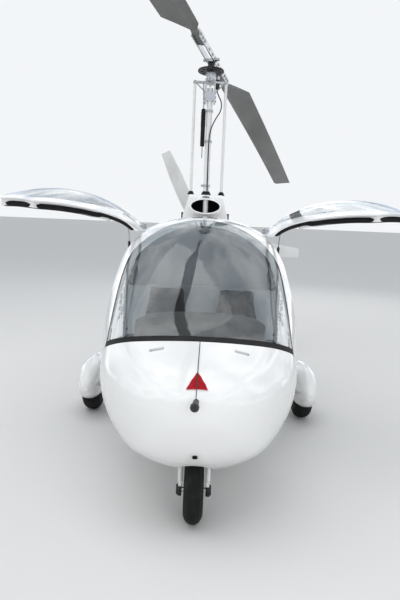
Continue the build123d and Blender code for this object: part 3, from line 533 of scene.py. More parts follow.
def box(size, bevel, segments=2):
    """Box with rounded edges, centred on its place."""
    part = bmesh.new()
    bmesh.ops.create_cube(part, size=1.0)
    bmesh.ops.scale(part, vec=size, verts=part.verts)
    ease(part, part.edges[:], bevel, segments)
    return part


def disc(radius, height, bevel, sides=32):
    """Disc standing on its place, its upper edge rounded."""
    part = bmesh.new()
    bmesh.ops.create_cone(part, cap_ends=True, segments=sides, radius1=radius, radius2=radius, depth=height)
    bmesh.ops.translate(part, vec=(0, 0, height / 2), verts=part.verts)
    rim = [edge for edge in part.edges if all(vert.co.z > height / 2 for vert in edge.verts)]
    ease(part, rim, bevel)
    return part


def bolt(across, height):
    """Hexagon head on its washer."""
    part = disc(across * 0.58, height, height * 0.18, sides=6)
    washer = disc(across * 0.78, height * 0.22, height * 0.05, sides=20)
    put(part, washer, at((0, 0, -height * 0.05)))
    return part


def circle(radius, count=10, first=0.0):
    """Points spread evenly round a circle: a round section, or where bolts stand."""
    turns = [first + 2 * math.pi * k / count for k in range(count)]
    return [(radius * math.cos(turn), radius * math.sin(turn)) for turn in turns]


def flat_section(width, height):
    """Strap or seal section with its corners cut."""
    w, h, c = width / 2, height / 2, min(width, height) * 0.28
    return [
        (w - c, -h), (w, -h + c), (w, h - c), (w - c, h), (c - w, h), (-w, h - c), (-w, c - h), (c - w, -h)
    ]


def sweep(mesh, points, section, normals=None, closed=False):
    """A section of (across, up) points carried along a line; normals, if given, hold its up."""
    count = len(points)
    rings = []
    up = None
    for i, point in enumerate(points):
        ahead = points[(i + 1) % count] if closed or i < count - 1 else point
        behind = points[i - 1] if closed or i > 0 else point
        along = (ahead - behind).normalized()
        if normals is not None:
            up = normals[i]
        elif up is None:
            up = along.orthogonal()
        up = (up - along * up.dot(along)).normalized()
        side = along.cross(up)
        rings.append([mesh.verts.new(point + side * across + up * height) for across, height in section])
    for i in range(count if closed else count - 1):
        here, there = rings[i], rings[(i + 1) % count]
        for j in range(len(section)):
            k = (j + 1) % len(section)
            mesh.faces.new((here[j], here[k], there[k], there[j]))
    if not closed:
        mesh.faces.new(rings[0][::-1])
        mesh.faces.new(rings[-1])
    turn_out(mesh)


def grid_faces(mesh, rows):
    """Faces between rows with the same number of points."""
    for row, other in zip(rows, rows[1:]):
        for j in range(len(row) - 1):
            mesh.faces.new((row[j], row[j + 1], other[j + 1], other[j]))


def skin_tree(*names, place=Matrix.Identity(4)):
    """Ray-casting tree of CAD nodes' meshes, in a frame that place takes to the row's."""
    mesh = bmesh.new()
    for name in names:
        mesh.from_mesh(nodes[name].data)
    bmesh.ops.transform(mesh, matrix=place.inverted(), verts=mesh.verts)
    tree = BVHTree.FromBMesh(mesh)
    mesh.free()
    return tree


MIRROR = Matrix.Scale(-1, 4, (1, 0, 0))


def both_sides(name, mesh, material, body="airframe", place=Matrix.Identity(4)):
    """A left-hand piece, and its mirror image on the right; body has {} where the side's name goes."""
    for side, flip in (("left", Matrix.Identity(4)), ("right", MIRROR)):
        copy = mesh.copy()
        bmesh.ops.transform(copy, matrix=flip @ place, verts=copy.verts)
        if side == "right":
            bmesh.ops.reverse_faces(copy, faces=copy.faces)
        finish(f"{name}_{side}", copy, material, body.format(side))
    mesh.free()


# The door's outline in the side view, as (y, z): sloping front, short sill, rear edge
DOOR_OUTLINE = [(-0.5796, 1.6), (-1.3296, 0.865), (-1.3, 0.62), (-0.21, 0.62), (-0.15, 1.6)]


def inset_outline(inset):
    """The open outline moved in by inset, as corner points from top front to top rear."""
    lines = []
    for (y0, z0), (y1, z1) in zip(DOOR_OUTLINE, DOOR_OUTLINE[1:]):
        along = Vector((y1 - y0, z1 - z0)).normalized()
        inward = Vector((-along.y, along.x))
        lines.append((Vector((y0, z0)) + inward * inset, along))
    corners = [lines[0][0]]
    for (start, along), (other, beside) in zip(lines, lines[1:]):
        cross = along.x * beside.y - along.y * beside.x
        reach = ((other.x - start.x) * beside.y - (other.y - start.y) * beside.x) / cross
        corners.append(start + along * reach)
    rear_length = (Vector(DOOR_OUTLINE[4]) - Vector(DOOR_OUTLINE[3])).length
    corners.append(lines[-1][0] + lines[-1][1] * rear_length)
    return corners


def rounded_line(corners, radius, step):
    """Points along a run of corners, each corner eased over radius."""
    marks = [corners[0]]
    for before, here, after in zip(corners, corners[1:], corners[2:]):
        start = here + (before - here).normalized() * min(radius, (before - here).length / 2)
        end = here + (after - here).normalized() * min(radius, (after - here).length / 2)
        for k in range(7):
            t = k / 6
            marks.append(start * (1 - t) ** 2 + here * 2 * t * (1 - t) + end * t**2)
    marks.append(corners[-1])
    points = [marks[0]]
    for here, there in zip(marks, marks[1:]):
        pieces = max(1, round((there - here).length / step))
        points += [here.lerp(there, (k + 1) / pieces) for k in range(pieces)]
    return points


# Where a door seal's run ends at the top, and its section
DOOR_SEAL_TOP_X = 0.475
DOOR_SEAL_INSET = 0.046
DOOR_SEAL_DEPTH = 0.040
DOOR_SEAL_SIZE = 0.034
# The opening's seal stands this far outside the outline and inside the skin
RIM_TOP_X = 0.405
RIM_OUTSET = 0.010
RIM_SINK = 0.004
RIM_RADIUS = 0.011
# Where the rays start that find the skin: from outside, from above, in the cabin, and under its roof
OUTSIDE_X = 0.95
ABOVE_Z = 1.9
CABIN_X = 0.45
UNDER_ROOF_X = 0.2
UNDER_ROOF_Z = 1.15
CORNER_EASE = 0.06
SIDE_STEP = 0.03
TOP_STEP = 0.04


def skin_line(tree, outline, top_x, inside):
    """Points and normals on the skin round a door outline closed at top_x, and how many lie on the side."""
    points = []
    normals = []

    def add_hit(start, ray):
        hit, normal, _, _ = tree.ray_cast(Vector(start), Vector(ray))
        if hit is not None and hit.x >= top_x - 0.0001:
            points.append(hit)
            normals.append(normal if normal.dot(Vector(ray)) < 0 else -normal)

    for y, z in rounded_line(outline, CORNER_EASE, SIDE_STEP):
        if inside:
            add_hit((CABIN_X if z < UNDER_ROOF_Z else UNDER_ROOF_X, y, z), (1, 0, 0))
        else:
            add_hit((OUTSIDE_X, y, z), (-1, 0, 0))
    low_count = len(points)
    first_y, last_y = points[-1].y, points[0].y
    steps = max(2, round(abs(last_y - first_y) / TOP_STEP))
    for k in range(1, steps):
        y = first_y + (last_y - first_y) * k / steps
        add_hit((top_x, y, UNDER_ROOF_Z if inside else ABOVE_Z), (0, 0, 1 if inside else -1))
    return points, normals, low_count


door_tree = skin_tree("door_left", place=OPENED)
seal_points, seal_normals, low_count = skin_line(
    door_tree, inset_outline(DOOR_SEAL_INSET), DOOR_SEAL_TOP_X, False
)
# the seal steps out beside the gas strut, which lies inside it when the door is shut
STRUT_MIDDLE = -0.780
STRUT_REACH = 0.180
STRUT_ROOM = 0.017
STRUT_EASE = 0.030
STRUT_LOWEST = 1.15
for k, (point, outward) in enumerate(zip(seal_points, seal_normals)):
    if k < low_count:
        point -= Vector((DOOR_SEAL_DEPTH / max(outward.x, 0.4), 0, 0))
    else:
        point -= outward * DOOR_SEAL_DEPTH
    if point.z > STRUT_LOWEST:
        share = (STRUT_REACH - abs(point.y - STRUT_MIDDLE)) / STRUT_EASE
        point += outward * STRUT_ROOM * min(max(share, 0.0), 1.0)
door_seal = bmesh.new()
sweep(door_seal, seal_points, flat_section(DOOR_SEAL_SIZE, DOOR_SEAL_SIZE), seal_normals, closed=True)
both_sides("door_seal", door_seal, seal_rubber, "leaf_{}", OPENED)
body_tree = skin_tree("cabin_frame", "hull_tub")
rim_points, rim_normals, _ = skin_line(body_tree, inset_outline(-RIM_OUTSET), RIM_TOP_X, True)
rim_points = [point + normal * RIM_SINK for point, normal in zip(rim_points, rim_normals)]
opening_seal = bmesh.new()
sweep(opening_seal, rim_points, circle(RIM_RADIUS), rim_normals, closed=True)
both_sides("opening_seal", opening_seal, seal_rubber)


# Seats
# Stuffed pads in woven cloth over the moulded seat box, with piping and sewn channels across the backs.
def weave(name, color, light, thread, gloss):
    """Woven cloth: warp and weft as fine ribs, with threads that vary in tone."""
    material, tree, shader = shader_material(name, color, 0.85)
    place = object_place(tree)
    ribs = []
    for direction in ("X", "Z"):
        rib = {"Vector": place, "Scale": thread, "Distortion": 0.6, "Detail": 1.0}
        ribs.append(add_node(tree, "ShaderNodeTexWave", rib, bands_direction=direction).outputs["Fac"])
    over = math_node(tree, "MULTIPLY", *ribs)
    share = math_node(tree, "MULTIPLY", over, noise_node(tree, place, 9.0, 8.0))
    cloth_color = mix_color(tree, share, (*color, 1), (*light, 1))
    feed(tree, shader, {"Sheen Weight": gloss, "Base Color": cloth_color})
    add_bump(tree, shader, over, 0.5, 0.0006)
    return material


seat_weave = weave("seat_weave", (0.02, 0.02, 0.022), (0.11, 0.11, 0.115), 260.0, 0.3)
piping_weave = weave("piping_weave", (0.07, 0.07, 0.075), (0.2, 0.2, 0.21), 420.0, 0.2)
belt_webbing = weave("belt_webbing", (0.015, 0.015, 0.017), (0.07, 0.07, 0.075), 330.0, 0.15)
VOXEL = 0.010
SWELL_CAP = 0.020
CHANNEL_WIDTH = 0.008
CHANNEL_DEPTH = 0.007


def evaluated_mesh(piece):
    """A piece's mesh with its modifiers applied."""
    return bpy.data.meshes.new_from_object(piece.evaluated_get(bpy.context.evaluated_depsgraph_get()))


def mesh_points(data):
    """A mesh's points as rows of x, y, z."""
    points = np.empty(len(data.vertices) * 3)
    data.vertices.foreach_get("co", points)
    return points.reshape(-1, 3)


def blown_pad(outline, thickness, channels=()):
    """A pad's mesh in its own plane: the outline filled, blown up as cloth, then sewn along each channel."""
    mesh = bmesh.new()
    base = mesh.faces.new([mesh.verts.new((x, y, -thickness / 2)) for x, y in outline])
    lifted = bmesh.ops.extrude_face_region(mesh, geom=[base])
    raised = [part for part in lifted["geom"] if isinstance(part, bmesh.types.BMVert)]
    bmesh.ops.translate(mesh, vec=(0, 0, thickness), verts=raised)
    turn_out(mesh)
    ease(mesh, mesh.edges[:], thickness * 0.3, 3)
    pad = new_object("pad", mesh_data("pad", mesh))
    remesh = pad.modifiers.new("remesh", "REMESH")
    remesh.mode = "VOXEL"
    remesh.voxel_size = VOXEL
    pad.data = evaluated_mesh(pad)
    pad.modifiers.clear()
    start = mesh_points(pad.data)
    shape = start
    cloth = pad.modifiers.new("cloth", "CLOTH")
    cloth.settings.use_pressure = True
    cloth.settings.uniform_pressure_force = 4.0
    cloth.settings.effector_weights.gravity = 0.0
    for step in range(1, 21):
        bpy.context.scene.frame_set(step)
    moved = mesh_points(evaluated_mesh(pad)) - start
    pad.modifiers.clear()
    bpy.context.scene.frame_set(1)
    far = np.maximum(np.linalg.norm(moved, axis=1, keepdims=True), 1e-9)
    shape = start + moved * np.minimum(1.0, SWELL_CAP / far)
    for channel in channels:
        groove = np.exp(-(((shape[:, 1] - channel) / CHANNEL_WIDTH) ** 2))
        shape[:, 2] -= np.where(shape[:, 2] > 0, CHANNEL_DEPTH * groove, 0.0)
    pad.data.vertices.foreach_set("co", shape.ravel())
    finer = pad.modifiers.new("finer", "SUBSURF")
    finer.levels = 1
    data = evaluated_mesh(pad)
    bpy.data.objects.remove(pad)
    return data


def laid_on(tree, spots, lift):
    """Points dropped along a pad's own Z onto it, with its normals."""
    points = []
    normals = []
    for x, y in spots:
        hit, normal, _, _ = tree.ray_cast(Vector((x, y, 0.3)), Vector((0, 0, -1)))
        if hit is not None:
            points.append(hit + normal * lift)
            normals.append(normal)
    return points, normals


SEAT_X = 0.262
SHOULDER_X = 0.065
SHOULDER_TOP = 0.268
SHOULDER_RUN = 0.52
LAP_HALF = 0.2
LAP_LINE = -0.135
LAP_SAG = 0.05
BELT_SIZE = (0.046, 0.0026)
cushion_outline = [
    (-0.19, -0.20), (0.19, -0.20), (0.205, 0.06), (0.165, 0.205), (-0.165, 0.205), (-0.205, 0.06)
]
back_outline = [(-0.175, -0.27), (0.175, -0.27), (0.172, 0.05), (0.135, 0.27), (-0.135, 0.27), (-0.172, 0.05)]
# the cushion lies with its front edge at +y of its own plane, and the back stands up from it
cushion_turn = Matrix.Rotation(math.radians(180), 4, "Z") @ Matrix.Rotation(math.radians(5.7), 4, "X")
back_turn = Matrix.Rotation(math.radians(90 - 13.4), 4, "X")
# Pads: name, node it stands for, centre (y, z), turn, outline, thickness, channels
for pad_name, node_name, centre, turned, outline, thickness, channels in (
    ("seat_cushion", "seat_cushions", (-0.560, 0.466), cushion_turn, cushion_outline, 0.050, (-0.09, 0.07)),
    (
        "seat_back", "seat_backs", (-0.296, 0.752), back_turn, back_outline, 0.046,
        (-0.16, -0.08, 0.0, 0.08, 0.15),
    ),
):
    pad_data = blown_pad(outline, thickness, channels)
    pad_mesh = bmesh.new()
    pad_mesh.from_mesh(pad_data)
    pad_tree = BVHTree.FromBMesh(pad_mesh)
    ring = []
    for across, up in circle(1.0, 72):
        out = Vector((across, up, 0))
        hit, _, _, _ = pad_tree.ray_cast(Vector((0, 0, thickness * 0.35)) + out * 0.6, -out)
        ring.append(hit)
    piping = bmesh.new()
    sweep(piping, ring, circle(0.0055, 8), [Vector((0, 0, 1))] * len(ring), closed=True)
    straps = bmesh.new()
    shares = [k / 20 for k in range(21)]
    # two shoulder belts down the back, or a lap belt with its buckle across the cushion
    if pad_name == "seat_back":
        runs = [
            [(x * (1 + 0.5 * share), SHOULDER_TOP - SHOULDER_RUN * share) for share in shares]
            for x in (-SHOULDER_X, SHOULDER_X)
        ]
    else:
        runs = [[(LAP_HALF * (2 * share - 1), LAP_LINE - LAP_SAG * abs(2 * share - 1)) for share in shares]]
    for spots in runs:
        points, normals = laid_on(pad_tree, spots, 0.003)
        sweep(straps, points, flat_section(*BELT_SIZE), normals)
    if pad_name == "seat_cushion":
        buckle = box((0.075, 0.058, 0.016), 0.005)
        put(straps, buckle, at(points[10] + Vector((0, 0, 0.006))))
    pad_mesh.free()
    for side, sign in (("left", 1), ("right", -1)):
        place = at((sign * SEAT_X, *centre)) @ turned
        shown = new_object(f"{pad_name}_{side}", pad_data.copy())
        shown.data.transform(place)
        shown.data.polygons.foreach_set("use_smooth", [True] * len(shown.data.polygons))
        shown.data.materials.clear()
        shown.data.materials.append(seat_weave)
        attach(shown, "airframe")
        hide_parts(node_name)
        for extra_name, source, cloth in (("piping", piping, piping_weave), ("belt", straps, belt_webbing)):
            extra = source.copy()
            bmesh.ops.transform(extra, matrix=place, verts=extra.verts)
            finish(f"{pad_name}_{extra_name}_{side}", extra, cloth)
    piping.free()
    straps.free()

# Instrument panel
# Two dark screens and a row of round dials set in the black moulding, which leans over the knees.
PANEL_FACE = (-1.280, 0.700)
SCREEN_X = 0.23
face_up = Vector((0, 0.1465, 0.989))
face_out = Vector((0, 0.989, -0.1465))
face_turn = Matrix((face_up.cross(face_out), face_up, face_out)).transposed().to_4x4()
screen_glass = surface(
    "screen_glass", (0.006, 0.008, 0.010), (0.02, 0.022, 0.024), 0.08, scale=9.0, bump=0.02
)
dial_paint = surface("dial_paint", (0.7, 0.7, 0.68), (0.5, 0.5, 0.48), 0.4, scale=30.0)
panel_bezels = bmesh.new()
panel_glass = bmesh.new()
panel_marks = bmesh.new()


def on_face(x, up, out):
    """Place on the panel's face, its own Z out of it."""
    return at(Vector((x, *PANEL_FACE)) + face_up * up + face_out * out) @ face_turn


for x in (-SCREEN_X, SCREEN_X):
    put(panel_bezels, box((0.215, 0.150, 0.012), 0.005), on_face(x, 0.035, 0.004))
    put(panel_glass, box((0.188, 0.122, 0.004), 0.0015), on_face(x, 0.035, 0.0105))
    for k in range(5):
        put(panel_marks, box((0.009, 0.005, 0.003), 0.001), on_face(x - 0.07 + 0.035 * k, -0.034, 0.011))
# Dials: x, height on the face, radius
DIALS = (
    (-0.07, 0.075, 0.031), (0.0, 0.075, 0.031), (0.07, 0.075, 0.031), (-0.045, -0.01, 0.028),
    (0.045, -0.01, 0.028),
)
for x, up, radius in DIALS:
    put(panel_bezels, disc(radius + 0.006, 0.007, 0.002), on_face(x, up, 0.0))
    put(panel_glass, disc(radius, 0.0085, 0.0008), on_face(x, up, 0.0))
    for k in range(11):
        swing = math.radians(-135 + 27 * k)
        tick = on_face(x, up, 0.009) @ Matrix.Rotation(swing, 4, "Z") @ at((0, radius * 0.82, 0))
        put(panel_marks, box((0.0012, radius * 0.2, 0.0008), 0.0002, 1), tick)
    needle = on_face(x, up, 0.0095) @ Matrix.Rotation(math.radians(-120 + 900 * (x + up)), 4, "Z")
    needle = needle @ at((0, radius * 0.3, 0))
    put(panel_marks, box((0.0018, radius * 0.7, 0.0010), 0.0003, 1), needle)
for k in range(8):
    put(panel_bezels, disc(0.007, 0.012, 0.002, 16), on_face(-0.10 + 0.028 * k, -0.075, 0.0))
    put(panel_bezels, box((0.004, 0.014, 0.016), 0.001), on_face(-0.10 + 0.028 * k, -0.073, 0.014))
finish("panel_bezels", panel_bezels, black_moulding)
finish("panel_glass", panel_glass, screen_glass)
finish("panel_marks", panel_marks, dial_paint)

# Glareshield: a padded grey hood that rises from the screen's foot to the panel's upper edge
shield_grey = surface(
    "shield_grey", (0.055, 0.056, 0.058), (0.09, 0.09, 0.092), 0.72, scale=7.0, grain=900.0, bump=0.5
)
SHIELD_HALF = 0.375
# Rows from the screen's foot aft. Columns: y, half width, height at the middle, fall at the sides.
SHIELD_ROWS = (
    (-1.700, 0.330, 0.868, 0.030), (-1.600, 0.350, 0.900, 0.034), (-1.480, 0.366, 0.946, 0.040),
    (-1.380, SHIELD_HALF, 0.984, 0.046), (-1.330, SHIELD_HALF, 0.996, 0.048),
    (-1.306, SHIELD_HALF, 0.992, 0.048), (-1.298, SHIELD_HALF - 0.006, 0.972, 0.046),
    (-1.302, SHIELD_HALF - 0.010, 0.880, 0.020),
)
shield = bmesh.new()
shield_rows = []
for y, half, height, fall in SHIELD_ROWS:
    row = []
    for j in range(25):
        share = j / 12 - 1
        drop = fall * abs(share) ** 6 + 0.012 * share * share
        row.append(shield.verts.new((half * share, y, height - drop)))
    shield_rows.append(row)
grid_faces(shield, shield_rows)
turn_out(shield)
bmesh.ops.solidify(shield, geom=shield.faces[:], thickness=0.008)
turn_out(shield)
finish("glareshield", shield, shield_grey, angle=50)

# Stick boots and grip buttons
stick_boots = bmesh.new()
stick_buttons = bmesh.new()
for x in (-SEAT_X, SEAT_X):
    stick_line = Vector((0, -0.040, 0.260)).normalized()
    for k in range(6):
        height = 0.004 + 0.012 * k
        radius = 0.046 - 0.005 * k
        foot = Vector((x, -0.860, 0.300)) + stick_line * height
        put(stick_boots, disc(radius, 0.011, 0.004, 28), aim(foot, stick_line))
    put(stick_buttons, disc(0.006, 0.006, 0.002, 16), aim((x, -0.9005, 0.640), (0, 0.98, 0.1)))
    put(stick_buttons, disc(0.010, 0.007, 0.003, 20), aim((x, -0.915, 0.659), (0, -0.12, 1)))
finish("stick_boots", stick_boots, seal_rubber)
finish("stick_buttons", stick_buttons, dial_paint)


# Nose fittings
# Black louvres in the two deck vents over a black plate that closes each slot as painted shade, and a fabric
# cover on the air-speed probe with its lanyard and red pennant.
VENT_X = 0.213
vent_louvres = bmesh.new()
for x in (-VENT_X, VENT_X):
    # The black plate under the slats closes the slot: painted shade in the slot.
    put(vent_louvres, box((0.071, 0.019, 0.003), 0.001), at((x, -1.866, 0.8636)))
    for k in range(3):
        slat = at((x, -1.872 + 0.006 * k, 0.869)) @ Matrix.Rotation(math.radians(35), 4, "X")
        put(vent_louvres, box((0.068, 0.0022, 0.010), 0.0006, 1), slat)
finish("vent_louvres", vent_louvres, black_moulding)


def spun(profile, steps=40):
    """A closed outline of (along, radius) points spun round its own Z."""
    part = bmesh.new()
    ring = [part.verts.new((radius, 0, along)) for along, radius in profile]
    sides = [part.edges.new((ring[k - 1], ring[k])) for k in range(len(ring))]
    bmesh.ops.spin(
        part, geom=ring + sides, cent=(0, 0, 0), axis=(0, 0, 1), dvec=(0, 0, 0), angle=2 * math.pi,
        steps=steps, use_merge=True,
    )
    bmesh.ops.remove_doubles(part, verts=part.verts, dist=0.00001)
    turn_out(part)
    return part


PROBE_TIP = Vector((-0.011, -2.290, 0.729))
PROBE_ROOT = Vector((0, -2.120, 0.728))
cover_cloth = weave("cover_cloth", (0.02, 0.02, 0.02), (0.06, 0.06, 0.06), 420.0, 0.2)
probe_cover = bmesh.new()
# Outline of the cover: along the probe, radius
cover_profile = [
    (0.0, 0.0085), (0.0, 0.0125), (0.012, 0.0135), (0.020, 0.0115), (0.030, 0.0145), (0.055, 0.0150),
    (0.072, 0.0170), (0.084, 0.0205), (0.098, 0.0205), (0.109, 0.0160), (0.114, 0.0080), (0.115, 0.0002),
    (0.1135, 0.0002), (0.10, 0.0085),
]
put(probe_cover, spun(cover_profile, 28), aim(PROBE_ROOT.lerp(PROBE_TIP, 0.40), PROBE_TIP - PROBE_ROOT))
finish("probe_cover", probe_cover, cover_cloth, angle=60)


def free_cord(name, route, diameter, material):
    """A smooth cord through its route, fast at both ends."""
    curve = bpy.data.curves.new(name, "CURVE")
    curve.dimensions = "3D"
    curve.bevel_depth = diameter / 2
    curve.bevel_resolution = 3
    curve.use_fill_caps = True
    spline = curve.splines.new("NURBS")
    spline.points.add(len(route) - 1)
    for mark, point in zip(spline.points, route):
        mark.co = (*point, 1)
    spline.order_u = 3
    spline.use_endpoint_u = True
    curve.materials.append(material)
    cord = new_object(name, curve)
    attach(cord, "airframe")


free_cord(
    "probe_lanyard",
    [
        (-0.006, -2.216, 0.7435), (-0.006, -2.206, 0.756), (-0.005, -2.178, 0.777), (-0.004, -2.138, 0.797),
        (-0.003, -2.070, 0.832), (-0.001, -1.960, 0.883), (0.001, -1.890, 0.912), (0.002, -1.846, 0.934),
    ],
    0.004, cover_cloth,
)

pennant_red = weave("pennant_red", (0.62, 0.012, 0.025), (0.85, 0.05, 0.06), 420.0, 0.2)
hull_tree = skin_tree("hull_tub")
PENNANT_LENGTH = 0.100
PENNANT_TIP_Y = -2.064
PENNANT_X = -0.003
ROW_COUNT = 12


def on_hull(x, y):
    """The hull's top under a place, with its normal."""
    hit, normal, _, _ = hull_tree.ray_cast(Vector((x, y, 1.0)), Vector((0, 0, -1)))
    return hit, normal


pennant = bmesh.new()
rows = []
y = PENNANT_TIP_Y
for i in range(ROW_COUNT + 1):
    half = 0.002 + 0.049 * i / ROW_COUNT
    row = []
    for j in range(ROW_COUNT + 1):
        hit, normal = on_hull(PENNANT_X + half * (j / 6 - 1), y)
        lift = 0.0048 + 0.0022 * math.sin(1.3 * i) * math.sin(0.9 * j + 0.5)
        row.append(pennant.verts.new(hit + normal * lift))
    rows.append(row)
    slope = (on_hull(0, y)[0].z - on_hull(0, y - 0.004)[0].z) / 0.004
    y -= PENNANT_LENGTH / ROW_COUNT / math.sqrt(1 + slope * slope)
grid_faces(pennant, rows)
bmesh.ops.solidify(pennant, geom=pennant.faces[:], thickness=0.0009)
turn_out(pennant)
pennant_piece = finish("probe_pennant", pennant, pennant_red, "airframe", 60)

# Black plastic bush in the round hole at the chin, closed at its foot; its black floor is painted shade deep
# in the hole
CHIN_HOLE = Vector((0, -2.046, 0.404))
CHIN_OUT = Vector((0, -0.719, -0.695))
bush_profile = [
    (-0.020, 0.0), (-0.020, 0.0128), (0.0012, 0.0128), (0.0022, 0.0140), (0.0030, 0.0128), (0.0020, 0.0108),
    (-0.016, 0.0105), (-0.016, 0.0),
]
chin_bush = bmesh.new()
put(chin_bush, spun(bush_profile, 32), aim(CHIN_HOLE, CHIN_OUT))
finish("chin_bush", chin_bush, seal_rubber)

# Air scoop
# A black mesh screen across the duct behind the mouth, a solid black plate behind it that closes the duct as
# painted shade, and the light upright strut that stands in the mouth.
SCOOP_Z = 1.606
DUCT_HALF = 0.090
DUCT_UP = 0.055
scoop_screen = bmesh.new()
for k in range(9):
    rise = -0.044 + 0.011 * k
    half = DUCT_HALF * math.sqrt(1 - (rise / DUCT_UP) ** 2)
    put(scoop_screen, box((2 * half, 0.002, 0.0016), 0.0004, 1), at((0, -0.118, SCOOP_Z + rise)))
for k in range(17):
    across = -0.080 + 0.010 * k
    half = DUCT_UP * math.sqrt(1 - (across / DUCT_HALF) ** 2)
    put(scoop_screen, box((0.0016, 0.002, 2 * half), 0.0004, 1), at((across, -0.120, SCOOP_Z)))
# Solid black plate across the whole duct: painted shade deep in the duct.
duct_shade_plate = disc(1.0, 1.0, 0.02, 48)
bmesh.ops.scale(duct_shade_plate, vec=(0.0905, 0.0565, 0.003), verts=duct_shade_plate.verts)
put(scoop_screen, duct_shade_plate, aim((0, -0.110, SCOOP_Z), (0, 1, 0)))
finish("scoop_screen", scoop_screen, seal_rubber)
scoop_strut = bmesh.new()
strut_outline = [
    (-0.019, 0.010), (-0.012, -0.010), (0.0, -0.020), (0.012, -0.010), (0.019, 0.010), (0.008, 0.045),
    (-0.008, 0.045),
]
strut_line = [Vector((0, -0.318, z)) for z in (1.563, 1.612, 1.661)]
sweep(scoop_strut, strut_line, strut_outline, [Vector((0, 1, 0))] * 3)
finish("scoop_strut", scoop_strut, white_paint, "airframe", 50)

# Rotor head
# Nuts on the hub bar's bolts, trim cylinder and drive sleeve beside the mast, clamps, and the drive's cable.
HEAD = at((0, 0, 2.612)) @ Matrix.Rotation(math.radians(-8.4), 4, "X")
HUB = HEAD @ Matrix.Rotation(math.radians(90 - 13.6), 4, "Z")
BLADE_LEVEL = 0.092
BAR_SIDE = 0.0312
hub_nuts = bmesh.new()
for side in (-1, 1):
    for x in (-0.460, -0.400, -0.340, 0.340, 0.400, 0.460):
        put(hub_nuts, bolt(0.019, 0.0085), HUB @ aim((x, side * BAR_SIDE, BLADE_LEVEL), (0, side, 0)))
    for x in (-0.20, -0.10, 0.10, 0.20):
        put(hub_nuts, bolt(0.016, 0.0070), HUB @ aim((x, side * BAR_SIDE, BLADE_LEVEL), (0, side, 0)))
    put(hub_nuts, bolt(0.030, 0.0140), HUB @ aim((0, side * BAR_SIDE, BLADE_LEVEL), (0, side, 0)))
    put(hub_nuts, disc(0.0115, 0.010, 0.002, 24), HUB @ aim((0, side * 0.052, BLADE_LEVEL), (0, side, 0)))
bright_steel = surface(
    "bright_steel", (0.46, 0.46, 0.45), (0.24, 0.22, 0.2), 0.28, 1.0, scale=40.0, wear=0.6
)
finish("hub_nuts", hub_nuts, bright_steel, "rotor")

spindle_nut = bmesh.new()
put(spindle_nut, bolt(0.040, 0.018), HUB @ aim((0, 0, 0.0805), (0, 0, 1)))
finish("spindle_nut", spindle_nut, bright_steel, "rotor")

head_bolts = bmesh.new()
for side in (-1, 1):
    for z in (-0.030, -0.074):
        put(head_bolts, bolt(0.013, 0.006), HEAD @ aim((side * 0.022, -0.0422, z), (0, -1, 0)))
        put(head_bolts, bolt(0.013, 0.006), HEAD @ aim((side * 0.0322, -0.026, z), (side, 0, 0)))
    for z in (2.400, 2.430, 2.460):
        put(head_bolts, bolt(0.015, 0.007), aim((side * 0.0402, 0, z), (side, 0, 0)))
    put(head_bolts, bolt(0.017, 0.009), HEAD @ aim((side * 0.118, 0.0172, -0.070), (0, -1, 0)))
put(head_bolts, disc(0.014, 0.008, 0.003, 24), HEAD @ aim((0, -0.070, -0.080), (0, -1, 0)))
finish("head_bolts", head_bolts, bright_steel, "airframe")

collars = bmesh.new()
for z in (1.760, 2.092, 2.318):
    ring = [(0.0, 0.0226), (0.0, 0.0275), (0.002, 0.029), (0.016, 0.029), (0.018, 0.0275), (0.018, 0.0226)]
    put(collars, spun(ring), at((0, 0, z)))
    put(collars, box((0.018, 0.022, 0.016), 0.003), at((-0.032, -0.004, z + 0.009)))
finish("mast_collars", collars, rim_alloy, "airframe")

trim_cylinder = bmesh.new()
sleeve = [
    (0.0, 0.0), (0.0, 0.012), (0.004, 0.0155), (0.012, 0.0165), (0.268, 0.0165), (0.276, 0.0155),
    (0.280, 0.010), (0.280, 0.0),
]
TRIM_FOOT = Vector((-0.044, -0.006, 2.062))
put(trim_cylinder, spun(sleeve, 32), aim(TRIM_FOOT, (0.0, 0.0, 1)))
for k in range(9):
    ridge = [(0.0, 0.0160), (0.002, 0.0185), (0.006, 0.0185), (0.008, 0.0160)]
    put(trim_cylinder, spun(ridge, 32), aim(TRIM_FOOT + Vector((0, 0, 0.150 + 0.012 * k)), (0, 0, 1)))
finish("trim_cylinder", trim_cylinder, seal_rubber)
trim_rod = bmesh.new()
rod_line = [TRIM_FOOT + Vector((0, 0, 0.278)), Vector((-0.046, 0.006, 2.40)), Vector((-0.052, 0.020, 2.530))]
sweep(trim_rod, rod_line, circle(0.0055, 12))
sweep(trim_rod, [TRIM_FOOT - Vector((0, 0, 0.085)), TRIM_FOOT + Vector((0, 0, 0.002))], circle(0.0045, 12))
for side in (-1, 1):
    sweep(
        trim_rod, [HEAD @ Vector((side * 0.112, 0.022, -0.074)), Vector((side * 0.024, 0.012, 2.455))],
        circle(0.0045, 10),
    )
finish("trim_rod", trim_rod, bright_steel, "airframe")

drive_sleeve = bmesh.new()
put(drive_sleeve, disc(0.0185, 0.058, 0.004, 28), HEAD @ aim((0.052, 0.040, -0.102), (0, 0, 1)))
put(drive_sleeve, disc(0.0115, 0.016, 0.003, 24), HEAD @ aim((0.052, 0.040, -0.116), (0, 0, 1)))
finish("drive_sleeve", drive_sleeve, black_moulding)
drive_exit = HEAD @ Vector((0.052, 0.040, -0.116))
free_cord(
    "drive_cable",
    [
        drive_exit, (drive_exit.x + 0.002, drive_exit.y - 0.006, drive_exit.z - 0.030),
        (0.092, 0.022, 2.400), (0.088, -0.006, 2.330), (0.050, -0.030, 2.270), (0.014, -0.036, 2.190),
        (0.004, -0.031, 2.090), (0.006, -0.029, 1.900), (0.007, -0.029, 1.760), (0.008, -0.024, 1.690),
    ],
    0.0085, seal_rubber,
)

